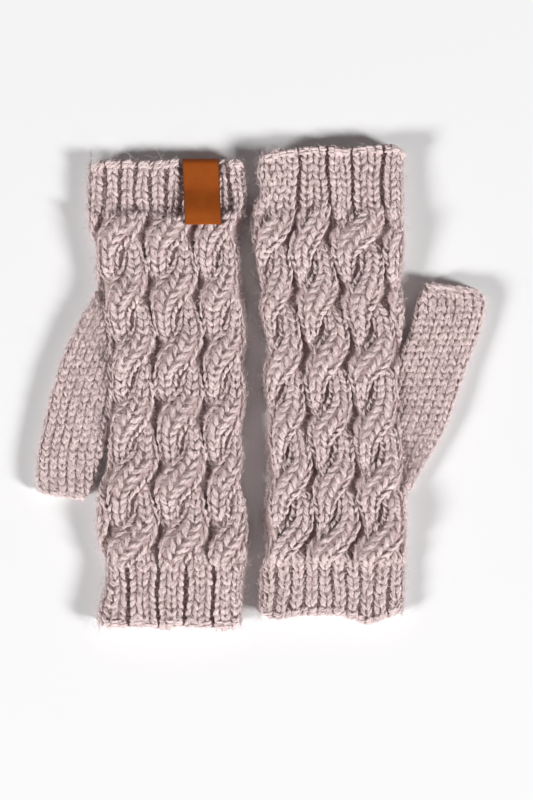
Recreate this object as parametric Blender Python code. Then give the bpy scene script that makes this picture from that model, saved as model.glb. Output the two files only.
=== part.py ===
"""A pair of hand-knitted, cabled fingerless mitts, laid flat side by side on their palms.

Each mitt is a flattened tube knitted in one from the wrist to the fingers: a narrow wrist rib, a
hand of rope cables with a gutter of purl between them, and a broader rib at the fingers. A plain
thumb grows from a gusset at its side. The two mitts are the same design, and the left one lies
turned end for end, so its wrist is at the top. A leather label is folded over that wrist edge.

A mitt's own frame runs along it, from the wrist edge to the fingers, and across it, towards the
thumb. The tables are in millimetres in that frame. The meshes are in metres, +Z up.
"""

from math import cos, hypot, pi, sin, sqrt
from typing import NamedTuple

import bmesh
import bpy
from mathutils import Vector

MM = 0.001

# The layers, as heights over the table in mm.
UNDER_WALL = 2.3
SLIT = 2.0
GUTTER_WALL = 1.8
SLIT_ROOF = UNDER_WALL + SLIT
GUTTER_TOP = SLIT_ROOF + GUTTER_WALL
EDGE_HEIGHT = 3.2
SIDE_WALL = 3.0
TOP_ROUND = 5.0
UNDER_ROUND = 2.4
UNDER_SHARE = 0.3

# The cables, in mm, and shares of a cable's own width or of the length between two crossings.
CABLE_PITCH = 21.6
CROSSING_PITCH = 27.8
CROSSING_RISE = 4.6
STRAND_RISE = 3.6
STRAND_OFFSET = 0.25
STRAND_HALF_WIDTH = 0.24
CROSSING_HALF_WIDTH = 0.36
CROSSING_REACH = 0.40
CROSSING_SWELL = 0.46
STRAND_REACH = 0.93
STRAND_FULLNESS = 0.7
FOOT_TAPER = 0.50
FOOT_POINT = 0.6
FOOT_DROP = 0.4
HEAD_TAPER = 0.24
HEAD_BEND = 0.08
HEAD_SWEEP = 0.34
CABLE_FADE = 6.0
COLUMN_FADE = 26.0
LAST_GUTTER_MARGIN = 1.5

# The ribs, in mm.
WRIST_RIB = 24.5
WRIST_RIDGES = 10
WRIST_RISE = 1.6
FINGER_RIB = 28.0
FINGER_RISE = 2.5
FINGER_GUTTER = 2.3

# The thumb, in mm.
THUMB_TOP = 6.3
THUMB_SIDE = 2.6
THUMB_ROUND = 3.0
GUSSET_START = 12.0
THUMB_HOLE = (80.0, 112.0)
THUMB_HOLE_REACH = 6.5
THUMB_HOLE_HEIGHT = (2.8, 3.8)
SEAM_GAP = 0.35
SEAM_EASE = 8.0
SEAM_DIP = 0.6
SEAM_SQUARE = 0.75

# The label, in mm.
LABEL_WIDTH = 16.4
LABEL_LEAF = 29.8
LEATHER = 1.2
LABEL_ACROSS = -13.9
LABEL_LEAN = -0.045
LABEL_CLEARANCE = 0.35
FOLD_CLEARANCE = 0.6
LABEL_NOTCH = 3.4
NOTCH_MARGIN = 0.6
NOTCH_SHOULDER = 1.3
LEAF_REACH = 3.0
LEAF_SAMPLES = 8
LEAF_STEP = 1.0

# How finely the meshes follow those shapes.
CABLE_COLUMNS = 15
SIDE_COLUMNS = 5
TOP_COLUMNS = 3 * CABLE_COLUMNS + SIDE_COLUMNS
UNDER_COLUMNS = 4
BODY_STEPS = 54
SLIT_STEPS = 5
THUMB_COLUMNS = 10
THUMB_STEPS = 22
LABEL_ACROSS_STEPS = 4
FOLD_STEPS = 6
LEAF_STEPS = 8

# The finishes.
SHARP_ANGLE = 0.3 * pi
YARN_COLOUR = (0.53, 0.44, 0.43, 1.0)
YARN_ROUGHNESS = 0.9
LEATHER_COLOUR = (0.42, 0.13, 0.02, 1.0)
LEATHER_ROUGHNESS = 0.5


class EdgeRow(NamedTuple):
    """The two side edges of a mitt, at one place along it."""

    along: float
    thumb_side: float
    outer_side: float


class RimRow(NamedTuple):
    """The end of the cloth, at one place across it."""

    across: float
    along: float


class GutterRow(NamedTuple):
    """The gutters between the cables, at one place along the hand."""

    along: float
    outer: float
    middle: float
    thumb: float


class ThumbRow(NamedTuple):
    """One section of the gusset or thumb, from the edge by the hand to its free edge."""

    inner_across: float
    inner_along: float
    outer_across: float
    outer_along: float


class NumberedRow(NamedTuple):
    """A row of a thumb's table, with its number."""

    number: int
    inner_across: float
    inner_along: float
    outer_across: float
    outer_along: float


class Mitt(NamedTuple):
    """The layout of one mitt, and where it lies."""

    name: str
    wrist_x: float
    wrist_y: float
    turn: float
    crossings: tuple
    rib_gutters: tuple
    edges: tuple
    wrist_rim: tuple
    finger_rim: tuple
    gutters: tuple
    thumb: tuple
    crotch: float
    notch: float


RIGHT_MITT = Mitt(
    name="right_mitt",
    wrist_x=32.0,
    wrist_y=-104.0,
    turn=1.0,
    crossings=(34.6, 62.6, 89.1, 117.0, 145.8, 173.7),
    rib_gutters=(-15.0, -1.6, 9.5, 23.0),
    edges=(
        EdgeRow(0.0, 31.5, -32.4),
        EdgeRow(10.8, 32.4, -31.5),
        EdgeRow(21.2, 32.4, -31.5),
        EdgeRow(30.6, 33.1, -29.7),
        EdgeRow(47.2, 33.3, -30.2),
        EdgeRow(57.6, 33.3, -28.4),
        EdgeRow(66.6, 32.4, -27.9),
        EdgeRow(77.9, 31.3, -29.2),
        EdgeRow(93.2, 29.7, -27.4),
        EdgeRow(102.6, 29.5, -29.7),
        EdgeRow(111.6, 29.7, -30.2),
        EdgeRow(119.7, 30.6, -28.6),
        EdgeRow(131.8, 31.9, -30.2),
        EdgeRow(140.4, 32.4, -31.9),
        EdgeRow(146.7, 31.5, -30.6),
        EdgeRow(152.1, 30.8, -31.5),
        EdgeRow(159.8, 31.7, -33.3),
        EdgeRow(170.1, 32.4, -35.6),
        EdgeRow(184.1, 31.9, -35.6),
        EdgeRow(193.1, 31.9, -31.5),
        EdgeRow(200.7, 31.5, -33.1),
        EdgeRow(210.6, 32.6, -31.5),
    ),
    wrist_rim=(
        RimRow(-32.4, 3.1),
        RimRow(-29.2, 0.5),
        RimRow(-23.4, -0.9),
        RimRow(-14.4, 0.5),
        RimRow(1.4, 0.5),
        RimRow(10.3, -1.8),
        RimRow(16.2, -3.6),
        RimRow(21.6, -1.8),
        RimRow(27.9, 0.5),
        RimRow(31.5, 3.1),
    ),
    finger_rim=(
        RimRow(-31.5, 207.5),
        RimRow(-27.9, 209.7),
        RimRow(-21.2, 211.3),
        RimRow(-0.9, 213.3),
        RimRow(9.0, 212.2),
        RimRow(20.7, 213.1),
        RimRow(27.0, 213.3),
        RimRow(32.9, 210.2),
    ),
    gutters=(
        GutterRow(30.6, -10.8, 9.9, 32.9),
        GutterRow(44.1, -8.6, 11.7, 33.8),
        GutterRow(66.6, -9.0, 10.8, 32.4),
        GutterRow(84.6, -10.3, 9.5, 30.6),
        GutterRow(98.1, -12.6, 8.6, 29.2),
        GutterRow(113.9, -12.2, 8.1, 29.2),
        GutterRow(129.6, -14.0, 7.2, 28.4),
        GutterRow(143.1, -15.8, 4.0, 25.7),
        GutterRow(152.1, -18.4, 2.7, 23.4),
        GutterRow(170.1, -18.4, -0.5, 23.4),
        GutterRow(192.6, -15.0, -1.4, 23.0),
    ),
    thumb=(
        ThumbRow(33.5, 57.6, 35.8, 57.6),
        ThumbRow(33.0, 63.0, 38.5, 63.5),
        ThumbRow(32.0, 69.3, 42.1, 69.8),
        ThumbRow(31.0, 77.0, 46.6, 77.0),
        ThumbRow(30.0, 84.6, 50.9, 84.6),
        ThumbRow(29.0, 94.5, 54.5, 94.0),
        ThumbRow(29.0, 103.5, 57.6, 103.5),
        ThumbRow(29.0, 112.5, 60.8, 112.5),
        ThumbRow(31.1, 120.6, 63.7, 120.6),
        ThumbRow(34.6, 128.2, 66.4, 128.2),
        ThumbRow(36.5, 134.1, 68.2, 134.6),
        ThumbRow(38.2, 141.8, 69.3, 140.4),
        ThumbRow(41.0, 148.1, 68.4, 145.3),
        ThumbRow(43.6, 151.2, 64.4, 148.5),
    ),
    crotch=120.6,
    notch=0.0,
)

LEFT_MITT = Mitt(
    name="left_mitt",
    wrist_x=-41.0,
    wrist_y=103.0,
    turn=-1.0,
    crossings=(31.9, 59.9, 87.3, 115.2, 143.1, 171.9),
    rib_gutters=(-19.4, -7.2, 5.0, 18.5),
    edges=(
        EdgeRow(0.0, 35.6, -33.3),
        EdgeRow(9.9, 36.7, -33.8),
        EdgeRow(25.7, 36.7, -33.3),
        EdgeRow(32.4, 35.6, -31.5),
        EdgeRow(39.1, 32.9, -30.8),
        EdgeRow(51.8, 32.9, -31.9),
        EdgeRow(59.4, 31.9, -32.4),
        EdgeRow(65.7, 29.7, -32.9),
        EdgeRow(75.2, 27.9, -33.3),
        EdgeRow(83.7, 26.8, -34.0),
        EdgeRow(92.2, 26.8, -32.9),
        EdgeRow(100.8, 27.0, -33.8),
        EdgeRow(113.9, 27.0, -32.9),
        EdgeRow(123.8, 27.4, -31.3),
        EdgeRow(136.8, 27.7, -32.2),
        EdgeRow(142.7, 28.8, -31.5),
        EdgeRow(147.2, 31.1, -31.1),
        EdgeRow(153.9, 32.2, -32.4),
        EdgeRow(167.4, 32.4, -34.4),
        EdgeRow(174.2, 31.3, -34.4),
        EdgeRow(181.3, 28.6, -34.2),
        EdgeRow(187.7, 28.4, -33.3),
        EdgeRow(194.0, 29.2, -32.2),
        EdgeRow(204.3, 32.2, -31.5),
        EdgeRow(212.0, 31.9, -31.5),
    ),
    wrist_rim=(
        RimRow(-33.8, 3.1),
        RimRow(-31.9, 0.9),
        RimRow(-29.2, -0.5),
        RimRow(-24.8, 0.0),
        RimRow(-2.2, 0.2),
        RimRow(24.8, 0.0),
        RimRow(32.4, 0.9),
        RimRow(35.6, 3.1),
    ),
    finger_rim=(
        RimRow(-31.5, 208.3),
        RimRow(-28.8, 211.5),
        RimRow(-23.4, 212.0),
        RimRow(-6.8, 210.8),
        RimRow(4.5, 212.4),
        RimRow(9.0, 211.5),
        RimRow(30.2, 211.1),
        RimRow(32.4, 208.3),
    ),
    gutters=(
        GutterRow(30.2, -10.8, 11.2, 32.4),
        GutterRow(41.4, -11.7, 10.8, 32.9),
        GutterRow(54.9, -11.7, 9.5, 31.9),
        GutterRow(61.6, -13.1, 8.6, 30.2),
        GutterRow(72.9, -14.8, 7.7, 27.9),
        GutterRow(86.4, -15.3, 6.3, 26.1),
        GutterRow(108.9, -14.8, 6.8, 26.6),
        GutterRow(122.4, -15.8, 5.4, 27.0),
        GutterRow(144.9, -16.7, 5.9, 27.9),
        GutterRow(162.9, -17.6, 5.4, 27.9),
        GutterRow(176.4, -18.4, 5.0, 28.4),
    ),
    thumb=(
        ThumbRow(31.5, 59.5, 33.5, 59.5),
        ThumbRow(29.5, 65.7, 35.8, 65.2),
        ThumbRow(28.0, 72.0, 39.8, 71.1),
        ThumbRow(26.5, 79.2, 43.9, 79.2),
        ThumbRow(26.5, 87.3, 47.4, 87.3),
        ThumbRow(26.5, 96.3, 50.9, 96.8),
        ThumbRow(26.5, 105.3, 53.6, 106.2),
        ThumbRow(26.5, 114.3, 55.8, 115.2),
        ThumbRow(27.9, 123.8, 57.6, 123.8),
        ThumbRow(29.5, 131.0, 59.2, 130.1),
        ThumbRow(31.7, 138.6, 59.9, 136.8),
        ThumbRow(34.2, 146.7, 60.0, 144.0),
        ThumbRow(36.5, 151.2, 59.6, 148.1),
        ThumbRow(39.1, 153.9, 57.6, 150.8),
    ),
    crotch=123.8,
    notch=LABEL_NOTCH,
)


def clamp(value, low=0.0, high=1.0):
    """The value, held between two limits."""
    return max(low, min(high, value))


def smooth(value):
    """A soft step from 0 to 1."""
    held = clamp(value)
    return held * held * (3.0 - 2.0 * held)


def read_table(rows, key, column, place):
    """Read a column of a table between its rows, on a smooth curve through them."""
    places = [getattr(row, key) for row in rows]
    values = [getattr(row, column) for row in rows]
    if place <= places[0]:
        return values[0]
    if place >= places[-1]:
        return values[-1]
    after = next(index for index, known in enumerate(places) if known > place)
    before = after - 1
    span = places[after] - places[before]
    share = (place - places[before]) / span

    def slope(index):
        low = max(index - 1, 0)
        high = min(index + 1, len(rows) - 1)
        return (values[high] - values[low]) / (places[high] - places[low])

    square = share * share
    cube = square * share
    return (
        (2.0 * cube - 3.0 * square + 1.0) * values[before]
        + (cube - 2.0 * square + share) * span * slope(before)
        + (3.0 * square - 2.0 * cube) * values[after]
        + (cube - square) * span * slope(after)
    )


def place_on_table(mitt, across, along, height):
    """A point of a mitt's own frame, in mm, as a place in the pair's frame, in metres."""
    return Vector((
        (mitt.wrist_x + mitt.turn * across) * MM,
        (mitt.wrist_y + mitt.turn * along) * MM,
        height * MM,
    ))


def cable_gutters(mitt, along):
    """The gutters across the hand, with one more pitch at each side."""
    outer = read_table(mitt.gutters, "along", "outer", along)
    middle = read_table(mitt.gutters, "along", "middle", along)
    thumb = read_table(mitt.gutters, "along", "thumb", along)
    return (outer - CABLE_PITCH, outer, middle, thumb, thumb + CABLE_PITCH)


def strand_height(width, offset, steps):
    """The height of the front strand of one crossing over the gutter's floor.

    The strand comes up from behind at the cable's outer side, in a point, slants and swells over
    the crossing and goes down in an arch at the side of the thumb. `offset` is the place across,
    from the cable's middle, and `steps` is the place along, from the crossing, in crossing pitches.
    """
    if abs(steps) >= STRAND_REACH:
        return 0.0
    turn = clamp(steps / CROSSING_REACH, -1.0, 1.0)
    bend = HEAD_BEND * smooth(1.0 - (STRAND_REACH - steps) / HEAD_SWEEP)
    middle = width * (STRAND_OFFSET * sin(0.5 * pi * turn) - bend)
    slope = 0.0
    if abs(turn) < 1.0:
        run = CROSSING_REACH * CROSSING_PITCH
        slope = STRAND_OFFSET * width * 0.5 * pi / run * cos(0.5 * pi * turn)
    foot = clamp((STRAND_REACH + steps) / FOOT_TAPER)
    head = sqrt(clamp((STRAND_REACH - steps) / HEAD_TAPER))
    crossing = 1.0 - smooth(abs(steps) / CROSSING_SWELL)
    half_width = STRAND_HALF_WIDTH + (CROSSING_HALF_WIDTH - STRAND_HALF_WIDTH) * crossing
    half_width *= width * head * foot ** FOOT_POINT
    reach = (offset - middle) / hypot(1.0, slope) / half_width
    if abs(reach) >= 1.0:
        return 0.0
    crown = STRAND_RISE + (CROSSING_RISE - STRAND_RISE) * crossing
    return crown * head * foot ** FOOT_DROP * (1.0 - reach * reach) ** STRAND_FULLNESS


def cable_height(mitt, across, along):
    """The height of the cables over the gutters' floor."""
    gutters = cable_gutters(mitt, along)
    height = 0.0
    for low, high in zip(gutters, gutters[1:]):
        if not low < across < high:
            continue
        offset = across - 0.5 * (low + high)
        for crossing in mitt.crossings:
            steps = (along - crossing) / CROSSING_PITCH
            height = max(height, strand_height(high - low, offset, steps))
    return height


def rib_height(mitt, across, along, length):
    """The height of the ribs at the two ends over the gutters' floor."""
    thumb_side = read_table(mitt.edges, "along", "thumb_side", along)
    outer_side = read_table(mitt.edges, "along", "outer_side", along)
    if along < 0.5 * length:
        share = (across - outer_side) / (thumb_side - outer_side)
        return WRIST_RISE * (0.5 - 0.5 * cos(2.0 * pi * WRIST_RIDGES * share))
    nearest = min(abs(across - gutter) for gutter in mitt.rib_gutters)
    return FINGER_RISE * smooth(nearest / FINGER_GUTTER)


def rib_share(along, rim_along, fade):
    """How much of the knitting is rib and not cable, from 0 in the hand to 1 at the two ends."""
    wrist_end = (WRIST_RIB - along) / fade + 0.5
    finger_end = (along - rim_along + FINGER_RIB) / fade + 0.5
    return smooth(max(wrist_end, finger_end))


def seam_share(mitt, along):
    """1 where the gusset grows from the hand's side, and 0 where that side is free."""
    start = mitt.thumb[0].inner_along
    return smooth((along - start) / SEAM_EASE) * smooth((mitt.crotch - along) / SEAM_EASE)


def top_height(mitt, across, along):
    """The height of a mitt's upper side over the table."""
    rim_along = read_table(mitt.finger_rim, "across", "along", across)
    ribbed = rib_share(along, rim_along, CABLE_FADE)
    relief = (1.0 - ribbed) * cable_height(mitt, across, along)
    relief += ribbed * rib_height(mitt, across, along, rim_along)
    thumb_side = read_table(mitt.edges, "along", "thumb_side", along)
    outer_side = read_table(mitt.edges, "along", "outer_side", along)
    height = GUTTER_TOP + relief
    if across < 0.5 * (thumb_side + outer_side):
        return round_edge(height, across - outer_side, TOP_ROUND, EDGE_HEIGHT)
    edge_height = seam_edge(seam_share(mitt, along))
    return round_edge(height, thumb_side - across, TOP_ROUND, edge_height)


def seam_edge(share):
    """The height of a side's widest point, which is the gusset's own height along the seam."""
    return EDGE_HEIGHT + (THUMB_TOP - SEAM_DIP - EDGE_HEIGHT) * share


def round_edge(height, to_edge, radius, edge_height):
    """Lower a height towards the side's widest point as it comes near the edge."""
    inward = 1.0 - clamp(to_edge / radius)
    return edge_height + (height - edge_height) * sqrt(1.0 - inward * inward)


def rim_place(mitt, across, share):
    """The place along a mitt, at a share of the way from its wrist rim to its finger rim."""
    wrist = read_table(mitt.wrist_rim, "across", "along", across)
    finger = read_table(mitt.finger_rim, "across", "along", across)
    return wrist + share * (finger - wrist)


def notched_place(mitt, across, share):
    """The same on the upper layer, whose wrist rim is drawn in under the label's fold."""
    from_label = abs(across - LABEL_ACROSS) - 0.5 * LABEL_WIDTH - NOTCH_MARGIN
    notch = mitt.notch * smooth(1.0 - from_label / NOTCH_SHOULDER)
    return rim_place(mitt, across, share) + (1.0 - share) * notch


def evenly(low, high, steps):
    """Places across, from the first up to but not at the last."""
    return [low + (high - low) * step / steps for step in range(steps)]


def top_columns(mitt, along, low, high):
    """The places across of the outside's columns: even on the ribs, and on the hand with one
    column in the floor of each gutter."""
    near_edge = high - LAST_GUTTER_MARGIN
    outer, middle, thumb = cable_gutters(mitt, along)[1:4]
    stops = (low, outer, middle, min(thumb, near_edge), high)
    counts = (CABLE_COLUMNS, CABLE_COLUMNS, CABLE_COLUMNS, SIDE_COLUMNS)
    on_hand = []
    for start, stop, count in zip(stops, stops[1:], counts):
        on_hand += evenly(start, stop, count)
    finger_stops = (low,) + mitt.rib_gutters + (high,)
    on_fingers = []
    for start, stop in zip(finger_stops, finger_stops[1:]):
        on_fingers += evenly(start, stop, TOP_COLUMNS // (len(finger_stops) - 1))
    length = mitt.edges[-1].along
    on_rib = on_fingers if along > 0.5 * length else evenly(low, high, TOP_COLUMNS)
    ribbed = rib_share(along, length, COLUMN_FADE)
    columns = [hand + ribbed * (rib - hand) for hand, rib in zip(on_hand, on_rib)]
    return columns + [high]


def body_ring(mitt, share):
    """One ring of the body's outside: over the top, round the thumb's side, and underneath."""
    nominal = share * mitt.edges[-1].along
    thumb_side = read_table(mitt.edges, "along", "thumb_side", nominal)
    outer_side = read_table(mitt.edges, "along", "outer_side", nominal)
    seam = seam_share(mitt, nominal)
    ring = []
    for across in top_columns(mitt, nominal, outer_side, thumb_side):
        along = notched_place(mitt, across, share)
        height = top_height(mitt, across, along)
        if across == outer_side:
            height = EDGE_HEIGHT
        elif across == thumb_side:
            height = seam_edge(seam)
        ring.append((across, along, height))
    for across, height in under_side(outer_side, thumb_side, (0.0, seam)):
        ring.append((across, rim_place(mitt, across, share), height))
    return [place_on_table(mitt, *point) for point in ring]


def under_side(low, high, seams):
    """The underside of a section, from its higher place across back to its lower one.

    `seams` says of the lower and the higher side how far each is a seam, and so upright.
    """
    turn = 1.0 - sqrt(0.5)
    widest = min(UNDER_ROUND, UNDER_SHARE * (high - low))
    low_round, high_round = (widest * (1.0 - SEAM_SQUARE * seam) for seam in seams)
    section = [(high - turn * high_round, turn * EDGE_HEIGHT)]
    start = high - high_round
    stop = low + low_round
    for column in range(UNDER_COLUMNS + 1):
        section.append((start + (stop - start) * column / UNDER_COLUMNS, 0.0))
    section.append((low + turn * low_round, turn * EDGE_HEIGHT))
    return section


def slit_section(low, high, top_columns):
    """The hollow's section between two places across, with as many points as the outside's."""
    start = low + 0.5 * SLIT
    flat = high - low - SLIT
    middle = UNDER_WALL + 0.5 * SLIT
    section = [(low, middle)]
    for column in range(top_columns - 1):
        section.append((start + flat * column / (top_columns - 2), SLIT_ROOF))
    section.append((high, middle))
    for column in range(UNDER_COLUMNS + 3):
        section.append((start + flat * (1.0 - column / (UNDER_COLUMNS + 2)), UNDER_WALL))
    return section


def slit_ring(mitt, share):
    """One ring of the hollow inside the body."""
    nominal = share * mitt.edges[-1].along
    thumb_side = read_table(mitt.edges, "along", "thumb_side", nominal)
    outer_side = read_table(mitt.edges, "along", "outer_side", nominal)
    low = outer_side + SIDE_WALL
    high = thumb_side - SIDE_WALL
    ring = []
    for across, height in slit_section(low, high, TOP_COLUMNS):
        along = rim_place(mitt, across, share)
        if height == SLIT_ROOF:
            along = notched_place(mitt, across, share)
        ring.append(place_on_table(mitt, across, along, height))
    return ring


def thumb_section(mitt, place):
    """The two edges of the thumb at a place in its table, as points in the mitt's frame."""
    numbered = [NumberedRow(number, *row) for number, row in enumerate(mitt.thumb)]
    inner = Vector((
        read_table(numbered, "number", "inner_across", place),
        read_table(numbered, "number", "inner_along", place),
    ))
    outer = Vector((
        read_table(numbered, "number", "outer_across", place),
        read_table(numbered, "number", "outer_along", place),
    ))
    hand = read_table(mitt.edges, "along", "thumb_side", inner.y) + SEAM_GAP
    inner.x = max(inner.x, hand)
    return inner, outer


def thumb_ring(mitt, place):
    """One ring of the thumb's outside, from its inner edge over the top and back below."""
    inner, outer = thumb_section(mitt, place)
    width = (outer - inner).length
    radius = min(THUMB_ROUND, 0.5 * width)
    seam = seam_share(mitt, inner.y)
    section = []
    for column in range(THUMB_COLUMNS + 1):
        even = column / THUMB_COLUMNS
        share = 0.5 * (even + 0.5 - 0.5 * cos(pi * even))
        if share < 0.5:
            height = round_edge(THUMB_TOP, share * width, radius, seam_edge(seam))
        else:
            height = round_edge(THUMB_TOP, (1.0 - share) * width, radius, EDGE_HEIGHT)
        section.append((share * width, height))
    section += under_side(0.0, width, (seam, 0.0))
    return thumb_points(mitt, inner, outer, section)


def thumb_slit_ring(mitt, place):
    """One ring of the hollow inside the thumb."""
    inner, outer = thumb_section(mitt, place)
    width = (outer - inner).length
    section = slit_section(THUMB_SIDE, width - THUMB_SIDE, THUMB_COLUMNS)
    return thumb_points(mitt, inner, outer, section)


def thumb_points(mitt, inner, outer, section):
    """Set a section of the thumb between its two edges."""
    width = (outer - inner).length
    ring = []
    for across, height in section:
        spot = inner.lerp(outer, across / width)
        ring.append(place_on_table(mitt, spot.x, spot.y, height))
    return ring


def thumb_width(mitt, place):
    """The width of the thumb at a place in its table."""
    inner, outer = thumb_section(mitt, place)
    return (outer - inner).length


def loft(mesh, rings):
    """Skin a tube through rings that have the same number of points."""
    around = len(rings[0])
    grid = bmesh.ops.create_grid(mesh, x_segments=around, y_segments=len(rings) - 1, size=1.0)
    for index, vertex in enumerate(grid["verts"]):
        row, column = divmod(index, around + 1)
        vertex.co = rings[row][column % around]
    bmesh.ops.remove_doubles(mesh, verts=grid["verts"], dist=1e-6)


def new_object(name, mesh, material):
    """Make an object of a finished bmesh."""
    bmesh.ops.recalc_face_normals(mesh, faces=mesh.faces)
    data = bpy.data.meshes.new(name)
    mesh.to_mesh(data)
    mesh.free()
    data.materials.append(material)
    data.shade_smooth()
    data.set_sharp_from_angle(angle=SHARP_ANGLE)
    made = bpy.data.objects.new(name, data)
    bpy.context.scene.collection.objects.link(made)
    return made


def new_material(name, colour, roughness):
    """A plain finish."""
    material = bpy.data.materials.new(name)
    material.use_nodes = True
    shader = material.node_tree.nodes["Principled BSDF"]
    shader.inputs["Base Color"].default_value = colour
    shader.inputs["Roughness"].default_value = roughness
    shader.inputs["Metallic"].default_value = 0.0
    return material


def build_body(mitt, yarn):
    """The wrist rib, hand and finger rib, knitted in one: down the outside and back inside."""
    outside = [body_ring(mitt, step / BODY_STEPS) for step in range(BODY_STEPS + 1)]
    inside = [slit_ring(mitt, step / SLIT_STEPS) for step in range(SLIT_STEPS + 1)]
    mesh = bmesh.new()
    loft(mesh, outside + inside[::-1] + outside[:1])
    return new_object(mitt.name + "_body", mesh, yarn)


def build_thumb(mitt, yarn):
    """The gusset and the thumb that grows from it, hollow and open at the thumb's end."""
    last = len(mitt.thumb) - 1
    places = [last * step / THUMB_STEPS for step in range(THUMB_STEPS + 1)]
    outside = [thumb_ring(mitt, place) for place in places]
    hollow = [place for place in places[::2] if thumb_width(mitt, place) > GUSSET_START]
    inside = [thumb_slit_ring(mitt, place) for place in hollow]
    mesh = bmesh.new()
    loft(mesh, outside + inside[::-1])
    rim = [edge for edge in mesh.edges if edge.is_boundary]
    bmesh.ops.holes_fill(mesh, edges=rim, sides=0)
    return new_object(mitt.name + "_thumb", mesh, yarn)


def open_thumb_hole(mitt, body, thumb):
    """Join the hollow of the hand to the hollow of the thumb, through both side walls."""
    low, high = THUMB_HOLE
    middle = 0.5 * (low + high)
    seam = read_table(mitt.edges, "along", "thumb_side", middle)
    floor, roof = THUMB_HOLE_HEIGHT
    mesh = bmesh.new()
    bmesh.ops.create_cube(mesh, size=1.0)
    size = Vector((2.0 * THUMB_HOLE_REACH, high - low, roof - floor)) * MM
    bmesh.ops.scale(mesh, vec=size, verts=mesh.verts)
    centre = place_on_table(mitt, seam, middle, 0.5 * (floor + roof))
    bmesh.ops.translate(mesh, vec=centre, verts=mesh.verts)
    cutter = new_object(mitt.name + "_thumb_hole", mesh, body.data.materials[0])
    cutter.hide_render = True
    cutter.display_type = "WIRE"
    for wall in (body, thumb):
        cut = wall.modifiers.new("thumb hole", "BOOLEAN")
        cut.operation = "DIFFERENCE"
        cut.object = cutter
    return cutter


def label_path(mitt):
    """The middle of the leather, from its end inside the wrist, round the fold, to its free end.

    Each point is a place along the mitt and a height. The front leaf lies on the highest knitting
    near it, so it rises where the cables begin.
    """
    half = 0.5 * LEATHER
    inside = UNDER_WALL + LABEL_CLEARANCE + half
    fold_start = notched_place(mitt, LABEL_ACROSS, 0.0) - FOLD_CLEARANCE
    outside = leaf_height(mitt, fold_start) + half
    radius = 0.5 * (outside - inside)
    path = []
    for step in range(LEAF_STEPS):
        path.append((fold_start + LABEL_LEAF * (1.0 - step / LEAF_STEPS), inside))
    for step in range(FOLD_STEPS + 1):
        angle = pi * step / FOLD_STEPS
        path.append((fold_start - radius * sin(angle), inside + radius * (1.0 - cos(angle))))
    for step in range(1, LEAF_STEPS + 1):
        along = fold_start + (LABEL_LEAF - radius) * step / LEAF_STEPS
        path.append((along, leaf_height(mitt, along) + half))
    return path


def leaf_height(mitt, along):
    """The height of the front leaf's underside: just clear of the knitting up to that place."""
    highest = 0.0
    spot = notched_place(mitt, LABEL_ACROSS, 0.0)
    while spot <= along + LEAF_REACH:
        for step in range(LEAF_SAMPLES + 1):
            aside = LABEL_WIDTH * (step / LEAF_SAMPLES - 0.5)
            across = LABEL_ACROSS + LABEL_LEAN * spot + aside
            highest = max(highest, top_height(mitt, across, spot))
        spot += LEAF_STEP
    return highest + LABEL_CLEARANCE


def build_label(mitt, leather):
    """The leather label, folded over the wrist edge."""
    path = label_path(mitt)
    mesh = bmesh.new()
    grid = bmesh.ops.create_grid(
        mesh, x_segments=LABEL_ACROSS_STEPS, y_segments=len(path) - 1, size=1.0
    )
    for index, vertex in enumerate(grid["verts"]):
        row, column = divmod(index, LABEL_ACROSS_STEPS + 1)
        along, height = path[row]
        across = LABEL_ACROSS + LABEL_LEAN * along
        across += LABEL_WIDTH * (column / LABEL_ACROSS_STEPS - 0.5)
        vertex.co = place_on_table(mitt, across, along, height)
    label = new_object("leather_label", mesh, leather)
    wall = label.modifiers.new("leather", "SOLIDIFY")
    wall.thickness = LEATHER * MM
    wall.offset = 0.0
    return label


def centre_pair(objects):
    """Move everything so that the pair's box is centred over the origin and stands on z = 0."""
    points = [vertex.co for each in objects for vertex in each.data.vertices]
    low = Vector([min(point[axis] for point in points) for axis in range(3)])
    high = Vector([max(point[axis] for point in points) for axis in range(3)])
    shift = -0.5 * (low + high)
    shift.z = -low.z
    for each in objects:
        for vertex in each.data.vertices:
            vertex.co += shift


def main():
    """Clear the scene and build the pair."""
    for old in list(bpy.data.objects):
        bpy.data.objects.remove(old)
    yarn = new_material("yarn", YARN_COLOUR, YARN_ROUGHNESS)
    leather = new_material("leather", LEATHER_COLOUR, LEATHER_ROUGHNESS)
    made = []
    for mitt in (LEFT_MITT, RIGHT_MITT):
        body = build_body(mitt, yarn)
        thumb = build_thumb(mitt, yarn)
        made += [body, thumb, open_thumb_hole(mitt, body, thumb)]
    made.append(build_label(LEFT_MITT, leather))
    centre_pair(made)


main()
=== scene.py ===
"""The looks of a pair of hand-knitted, cabled fingerless mitts that lie flat on a pale floor.

Every stitch is a pair of yarn legs laid on the relief of the knitting: rope cables, ribs at the two
ends, a gutter of purl between the cables, and plain knitting on the thumb and the palm. Under the
stitches lies a thin shell of cloth, and over them a halo of loose wool.

A mitt's own frame runs along it, from the wrist edge to the fingers, and across it, towards the
thumb, in millimetres. Meshes are in metres, +Z up.
"""

from __future__ import annotations

import logging
from dataclasses import dataclass, field
from enum import Enum
from math import pi
from typing import Callable, NamedTuple, Sequence

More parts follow.
